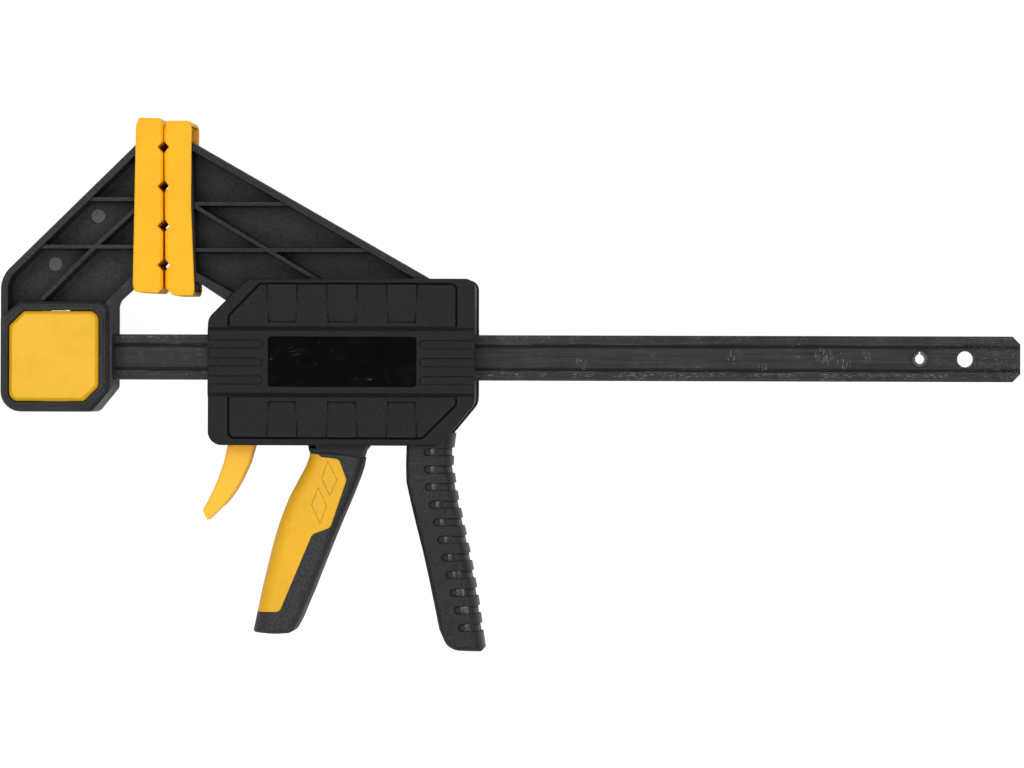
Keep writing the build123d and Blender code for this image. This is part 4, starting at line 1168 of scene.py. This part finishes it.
@dataclass
class Carriage(SubAssembly):
    """Housing with its covers, moving jaw, fixed grip and label.

    Attributes:
        rib_count: Number of thin ribs under the top wall of the moving pad.
        rib_half: Half the thickness of a rib.
        rib_taper: Share of that thickness which is left at a rib's free edge.
        rib_span: Where the ribs start and end along the bar.
        rib_rise: Lowest and highest place of the ribs.
        rib_spread: Distance from the middle of the pad to its outer ribs.
        hatch_count: Number of half-round ribs on the inside of the pad's far wall.
        hatch_start: Start of the lowest of them.
        hatch_run: How far each goes along and across the bar.
        hatch_pitch: Their spacing.
        hatch_radius: Their radius.
        hatch_wall: Level of the wall that they stand on.
        flute_count: Number of grooves down the fixed grip.
        flute_first: Start of the first groove along the bar and its middle across it.
        flute_pitch: Spacing of the grooves.
        flute_half: Half the width of a flute in its groove.
        flute_start: Length of the pit at the start of each groove.
        flute_length: Length of each flute.
        flute_rise: How far a flute rises out of its groove.
        lean_from: Place across the bar below which the grip's front edge leans.
        lean: How far that edge goes along the bar for each millimetre across it.
        grip_rear: Place across the bar, and of the grip's rear edge along it.
        grip_half: Half the thickness of the grip.
        grip_round: Radius of its rear edges.
        groove_depth: Depth of the grooves.
    """

    title: str = "carriage"
    finishes: dict[str, Finish] = field(default_factory=lambda: {
        "carriage_frame": Finish.FRAME_NYLON, "front_cover": Finish.COVER_NYLON,
        "rear_cover": Finish.COVER_NYLON, "label_plate": Finish.LABEL, "moving_pad": Finish.PAD_RUBBER,
        "cover_screws": Finish.SCREW_STEEL, "handle_pivot_pin": Finish.PIN_STEEL})
    rib_count: int = 6
    rib_half: float = 0.45
    rib_taper: float = 0.67
    rib_span: tuple[float, float] = (4.4, 10.6)
    rib_rise: tuple[float, float] = (99.3, 101.9)
    rib_spread: float = 10.5
    hatch_count: int = 5
    hatch_start: tuple[float, float] = (8.4, 97.3)
    hatch_run: tuple[float, float] = (3.6, -2.0)
    hatch_pitch: float = 0.85
    hatch_radius: float = 0.32
    hatch_wall: float = -13.2
    flute_count: int = 11
    flute_first: tuple[float, float] = (114.7, -41.3)
    flute_pitch: float = 7.69
    flute_half: float = 1.75
    flute_start: float = 2.8
    flute_length: float = 3.7
    flute_rise: float = 0.8
    lean_from: float = -54.5
    lean: float = 0.2386
    grip_rear: tuple[tuple[float, float], ...] = (
        (-131.0, 141.8), (-119.7, 140.1), (-108.5, 138.6), (-97.0, 136.6), (-85.1, 134.3), (-73.0, 131.6),
        (-62.2, 129.2), (-54.5, 127.9), (-47.0, 126.8), (-40.0, 127.0))
    grip_half: float = 13.0
    grip_round: float = 6.5
    groove_depth: float = 0.9

    def flutes(self, side: int) -> Shape:
        """Make the rounded flutes in the grooves of one side of the fixed grip.

        Where s runs from 0 to 1 along a flute and t from -1 to 1 across it, its rise over the
        groove's floor is rise (1 - s) to the 1.6 (1 - t to the sixth / 3), after a quick start over
        the first twentieth. The floor is flat and then bends round the rear on a circle.

        Args:
            side: 1 for the near side and -1 for the far side.

        Returns:
            The points and the faces.
        """
        heights, rears = np.array(self.grip_rear).T
        s, t = np.meshgrid(np.linspace(0, 1, 33), np.linspace(-1, 1, 13), indexing="ij")
        lift = self.flute_rise * (1 - s) ** 1.6 * (1 - t ** 6 / 3) * np.sqrt(np.clip(s / 0.05, 0, 1))
        radius = self.grip_round - self.groove_depth
        shells = []
        for index in range(self.flute_count):
            middle = self.flute_first[1] - index * self.flute_pitch
            start = self.flute_first[0] + self.lean * max(0.0, self.lean_from - middle) + self.flute_start
            x, y = start + s * self.flute_length, middle + t * self.flute_half
            past = np.clip(x - (np.interp(y, heights, rears) - self.grip_round), 0, None)
            floor = self.grip_half - self.grip_round + np.sqrt(np.clip(radius ** 2 - past ** 2, 0, None))
            shells.append(closed_sheet(np.dstack((x, y)), (floor + lift) * side, (floor - 0.2) * side))
        return together(shells)

    def rib(self, index: int) -> Shape:
        """Make one thin rib that hangs from the pad's top wall and tapers to its free edge.

        With u along the bar and v round the section, the section's half thickness shrinks by
        a third from the wall to the free edge, and the free edge is a half circle.

        Args:
            index: Number of the rib.

        Returns:
            The points and the faces.
        """
        middle = self.rib_spread * (2 * index / (self.rib_count - 1) - 1)
        turn = np.linspace(0, np.pi, 9)
        thin = self.rib_half * self.rib_taper
        low, high = self.rib_rise
        side = np.concatenate(([self.rib_half], thin * np.cos(turn), [-self.rib_half]))
        drop = np.concatenate(([high], low + thin - thin * np.sin(turn), [high]))
        along = np.linspace(*self.rib_span, 5)[:, None]
        return tube(np.stack(np.broadcast_arrays(along, drop, side + middle), axis=-1))

    def hatch(self) -> Shape:
        """Make the row of half-round ribs on the inside of the pad's far wall.

        With u along a rib and a from 0 to pi over it, a point is the rib's start + u times its
        run + radius cos(a) across it, at the wall + radius sin(a), and the rib tapers to half
        its radius over its last quarter.

        Returns:
            The points and the faces.
        """
        u, turn = np.meshgrid(np.linspace(0, 1, 9), np.linspace(0, np.pi, 9), indexing="ij")
        run = np.array(self.hatch_run)
        across = np.array((-run[1], run[0])) / np.linalg.norm(run)
        radius = self.hatch_radius * (1 - 0.5 * np.clip(u * 4 - 3, 0, 1))
        shells = []
        for index in range(self.hatch_count):
            start = np.array(self.hatch_start) + (0, index * self.hatch_pitch)
            flat = start + u[..., None] * run + (radius * np.cos(turn))[..., None] * across
            shells.append(closed_sheet(flat, self.hatch_wall + radius * np.sin(turn), self.hatch_wall - 0.1))
        return together(shells)

    def details(self) -> None:
        """Add the grip's flutes and the ribs inside the moving pad's top."""
        for side, word in ((1, "near"), (-1, "far")):
            self.shop.trim(f"grip_flutes_{word}", self.flutes(side), "carriage", "black_nylon",
                           Finish.FLUTE_NYLON, FINE_CREASE)
        for index in range(self.rib_count):
            self.shop.trim(f"moving_pad_rib_{index}", self.rib(index), "carriage", "yellow_pad",
                           Finish.PAD_RUBBER)
        # The hatch's rubber is painted lighter, as a painted glow through thin rubber.
        self.shop.trim("moving_pad_hatch", self.hatch(), "carriage", "yellow_pad", Finish.LIT_THIN_RUBBER)


@dataclass
class Handle(SubAssembly):
    """Squeeze handle with its sleeve, its soft inlay and the inlay's four textured insets.

    Attributes:
        diamonds: Corners of the two insets of one side: top, left, base, right.
        inset_share: Size of an inset as a share of its diamond.
        inset_floor: Distance of the insets' underside from the middle plane.
        inset_face: Distance of their face from the middle plane.
        ridge_pitch: Spacing of their fine ridges.
        ridge_rise: Height of the ridges.
        ridge_fade: Share of the inset over which the ridges fade at its rim.
        steps: Number of points along each side of an inset.
    """

    title: str = "squeeze handle"
    finishes: dict[str, Finish] = field(default_factory=lambda: {
        "trigger_lever": Finish.FRAME_NYLON, "trigger_grip": Finish.GRIP_RUBBER,
        "trigger_inlay": Finish.INLAY_RUBBER})
    diamonds: tuple[tuple[tuple[float, float], ...], ...] = (
        ((72.6, -45.4), (70.0, -52.9), (73.5, -60.7), (76.8, -53.7)),
        ((68.4, -56.9), (65.5, -64.8), (69.3, -73.0), (72.2, -65.1)))
    inset_share: float = 0.97
    inset_floor: float = 12.3
    inset_face: float = 12.5
    ridge_pitch: float = 0.9
    ridge_rise: float = 0.14
    ridge_fade: float = 0.06
    steps: int = 65

    def inset(self, corners: tuple[tuple[float, float], ...], side: int) -> Shape:
        """Make one thin diamond with fine ridges across it.

        Point (u, v) is the bilinear blend of the four corners, a little shrunk towards their
        middle, and its height is face + rise (1 - cos(2 pi y / pitch)) / 2, which fades to the
        plain face at the rim.

        Args:
            corners: Its corners, in millimetres.
            side: 1 for the near side and -1 for the far side.

        Returns:
            The points and the faces.
        """
        edges = np.array(corners)
        edges = edges.mean(axis=0) + (edges - edges.mean(axis=0)) * self.inset_share
        u, v = np.meshgrid(*[np.linspace(0, 1, self.steps)] * 2, indexing="ij")
        flat = np.stack(((1 - u) * (1 - v), u * (1 - v), u * v, (1 - u) * v), axis=-1) @ edges
        rim = np.clip(np.minimum(np.minimum(u, 1 - u), np.minimum(v, 1 - v)) / self.ridge_fade, 0, 1)
        ridges = (1 - np.cos(2 * np.pi * flat[..., 1] / self.ridge_pitch)) / 2
        face = self.inset_face + self.ridge_rise * rim * ridges
        return closed_sheet(flat, face * side, self.inset_floor * side)

    def details(self) -> None:
        """Add the insets on both sides."""
        for side, word in ((1, "near"), (-1, "far")):
            for index, corners in enumerate(self.diamonds):
                self.shop.trim(f"inset_{word}_{index}", self.inset(corners, side), "trigger", "yellow_soft",
                               Finish.INSET_RUBBER, FINE_CREASE)


@dataclass
class Works(SubAssembly):
    """Drive plates, brake plate and release lever, with the springs that send the plates back."""

    title: str = "drive and brake"
    finishes: dict[str, Finish] = field(default_factory=lambda: {
        "drive_plate_a": Finish.PLATE_STEEL, "drive_plate_b": Finish.PLATE_STEEL,
        "brake_plate": Finish.PLATE_STEEL, "release_lever": Finish.LEVER_PLASTIC})
    springs: tuple[CoilSpring, ...] = (
        CoilSpring("drive_spring", "carriage", "trigger_squeeze", (1, 0, 0), 1.7, 6.0, 10.1),
        CoilSpring("brake_spring", "carriage", "brake_release", (1, 0, 0), 0.8, 6.0, 4.7))


# ---------------------------------------------------------------- studio


@dataclass(frozen=True)
class SoftBox:
    """Square lamp that faces the clamp.

    Attributes:
        name: Name of the lamp.
        place: Where it hangs, in metres.
        size: Side of its square, in metres.
        power: Its power in watts.
    """

    name: str
    place: tuple[float, float, float]
    size: float
    power: float

    def hang(self) -> None:
        """Put the lamp into the scene."""
        lamp = bpy.data.lights.new(self.name, "AREA")
        lamp.size = self.size
        lamp.energy = self.power
        holder = put(self.name, lamp)
        holder.location = self.place
        holder.rotation_euler = (-Vector(self.place)).to_track_quat("-Z", "Y").to_euler()


@dataclass
class Studio:
    """Camera, lamps, floor and surroundings.

    Attributes:
        target_mm: Point of the frame that the camera's axis passes through.
        distance: From that point to the camera, in metres.
        turn: Degrees that the camera stands to the right of straight above.
        roll: Degrees that the camera is turned about its axis.
        lens: Focal length in millimetres for a 36 mm wide sensor.
        far: How far the camera sees, in metres.
        floor_size: Side of the square floor, in metres.
        paper: Tone of the floor where it is seen.
        glow: Strength of its own light there, which hides all but a faint shadow.
        bounce: Tone of the floor for the light that it throws back.
        shade_mm: How far the clamp darkens the floor that its gloss mirrors.
        sky: Strength of the sky's soft light at the horizon and straight up.
        gloss: Strength of the sky as reflections see it: at the horizon, half way up and
            straight up, where the camera and its ceiling are dark.
        lamps: The soft boxes.
    """

    target_mm: tuple[float, float, float] = (0.95, 0.43, 18.0)
    distance: float = 2.0
    turn: float = 2.8
    roll: float = 0.18
    lens: float = 159.8
    far: float = 20.0
    floor_size: float = 8.0
    paper: float = 0.14
    glow: float = 0.95
    bounce: float = 0.6
    shade_mm: float = 60.0
    sky: tuple[float, float] = (0.2, 1.1)
    gloss: tuple[float, float, float] = (0.04, 0.38, 0.03)
    lamps: tuple[SoftBox, ...] = (
        SoftBox("left", (-0.95, 0.65, 1.8), 0.9, 6.5),
        SoftBox("right", (1.1, 0.25, 1.7), 0.7, 4.5),
        SoftBox("low", (-0.1, -0.85, 1.9), 0.8, 6.0),
        SoftBox("back", (0.8, 1.35, 0.8), 0.4, 3.0))

    def camera(self) -> None:
        """Set the camera above the clamp, looking down."""
        turn = math.radians(self.turn)
        right = Vector((math.cos(turn), 0, -math.sin(turn)))
        back = Vector((math.sin(turn), 0, math.cos(turn)))
        axes = Matrix((right, back.cross(right), back)).transposed()
        lens = bpy.data.cameras.new("camera")
        lens.lens = self.lens
        lens.sensor_width = 36
        lens.clip_end = self.far
        camera = put("camera", lens)
        spin = Matrix.Rotation(math.radians(self.roll), 3, "Z")
        camera.matrix_world = (Matrix.Translation(Vector(self.target_mm) * MM + back * self.distance)
                               @ (axes @ spin).to_4x4())
        bpy.context.scene.camera = camera

    def floor(self) -> None:
        """Lay the pale floor, which keeps a faint shadow."""
        half = self.floor_size / 2
        corners = [(-half, -half, 0), (half, -half, 0), (half, half, 0), (-half, half, 0)]
        mesh = bpy.data.meshes.new("floor")
        mesh.from_pydata(corners, [], [(0, 1, 2, 3)])
        floor = put("floor", mesh)
        material = bpy.data.materials.new("pale_floor")
        nodes = Nodes(material)
        paper, plain = (nodes.add("BsdfDiffuse", {"Color": (tone, tone, tone, 1)})[0]
                        for tone in (self.paper, self.bounce))
        glow = nodes.add("Emission", {"Color": (1, 1, 1, 1), "Strength": self.glow})[0]
        seen = nodes.add("AddShader", {0: paper, 1: glow})[0]
        ray = nodes.add("LightPath")
        under = nodes.add("AmbientOcclusion", {"Distance": self.shade_mm * MM}, samples=8)["AO"]
        mirrored = nodes.times(ray["Is Glossy Ray"], under, under)
        direct = nodes.most(ray["Is Camera Ray"], mirrored, ray["Is Transmission Ray"])
        chosen = nodes.add("MixShader", {0: direct, 1: plain, 2: seen})[0]
        nodes.add("OutputMaterial", {"Surface": chosen})
        floor.data.materials.append(material)

    def surroundings(self) -> None:
        """Set a sky that looks white, lights softly and darkens upwards in reflections."""
        world = bpy.data.worlds.new("studio")
        nodes = Nodes(world)
        height = nodes.add("SeparateXYZ", {0: nodes.add("TexCoord")["Generated"]})["Z"]
        horizon, middle, top = self.gloss
        ring = nodes.ramp(height, 0.25, 0.75, horizon, middle)
        level = nodes.ramp(height, 0.0, 0.9, *self.sky)
        ray = nodes.add("LightPath")
        mirrored = nodes.times(ring, nodes.ramp(height, 0.9, 0.985, 1.0, top / middle))
        for kind, seen in (("Is Glossy Ray", mirrored), ("Is Camera Ray", 1.0)):
            level = nodes.add("Mix", {"Factor": ray[kind], 2: level, 3: seen}, data_type="FLOAT")[0]
        sky = nodes.add("Background", {"Color": (1, 1, 1, 1), "Strength": level})[0]
        nodes.add("OutputWorld", {"Surface": sky})
        bpy.context.scene.world = world

    def build(self) -> None:
        """Set up the whole studio."""
        self.camera()
        for lamp in self.lamps:
            lamp.hang()
        self.floor()
        self.surroundings()
        bpy.context.scene.view_settings.view_transform = "Standard"


def main() -> None:
    """Build the clamp's looks and the studio round it."""
    logging.basicConfig(level=logging.INFO, format="%(message)s")
    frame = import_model()
    shop = Workshop(frame)
    for assembly in (Bar, FixedJaw, Carriage, Handle, Works):
        assembly(shop).build()
    Studio().build()


if __name__ == "__main__":
    main()
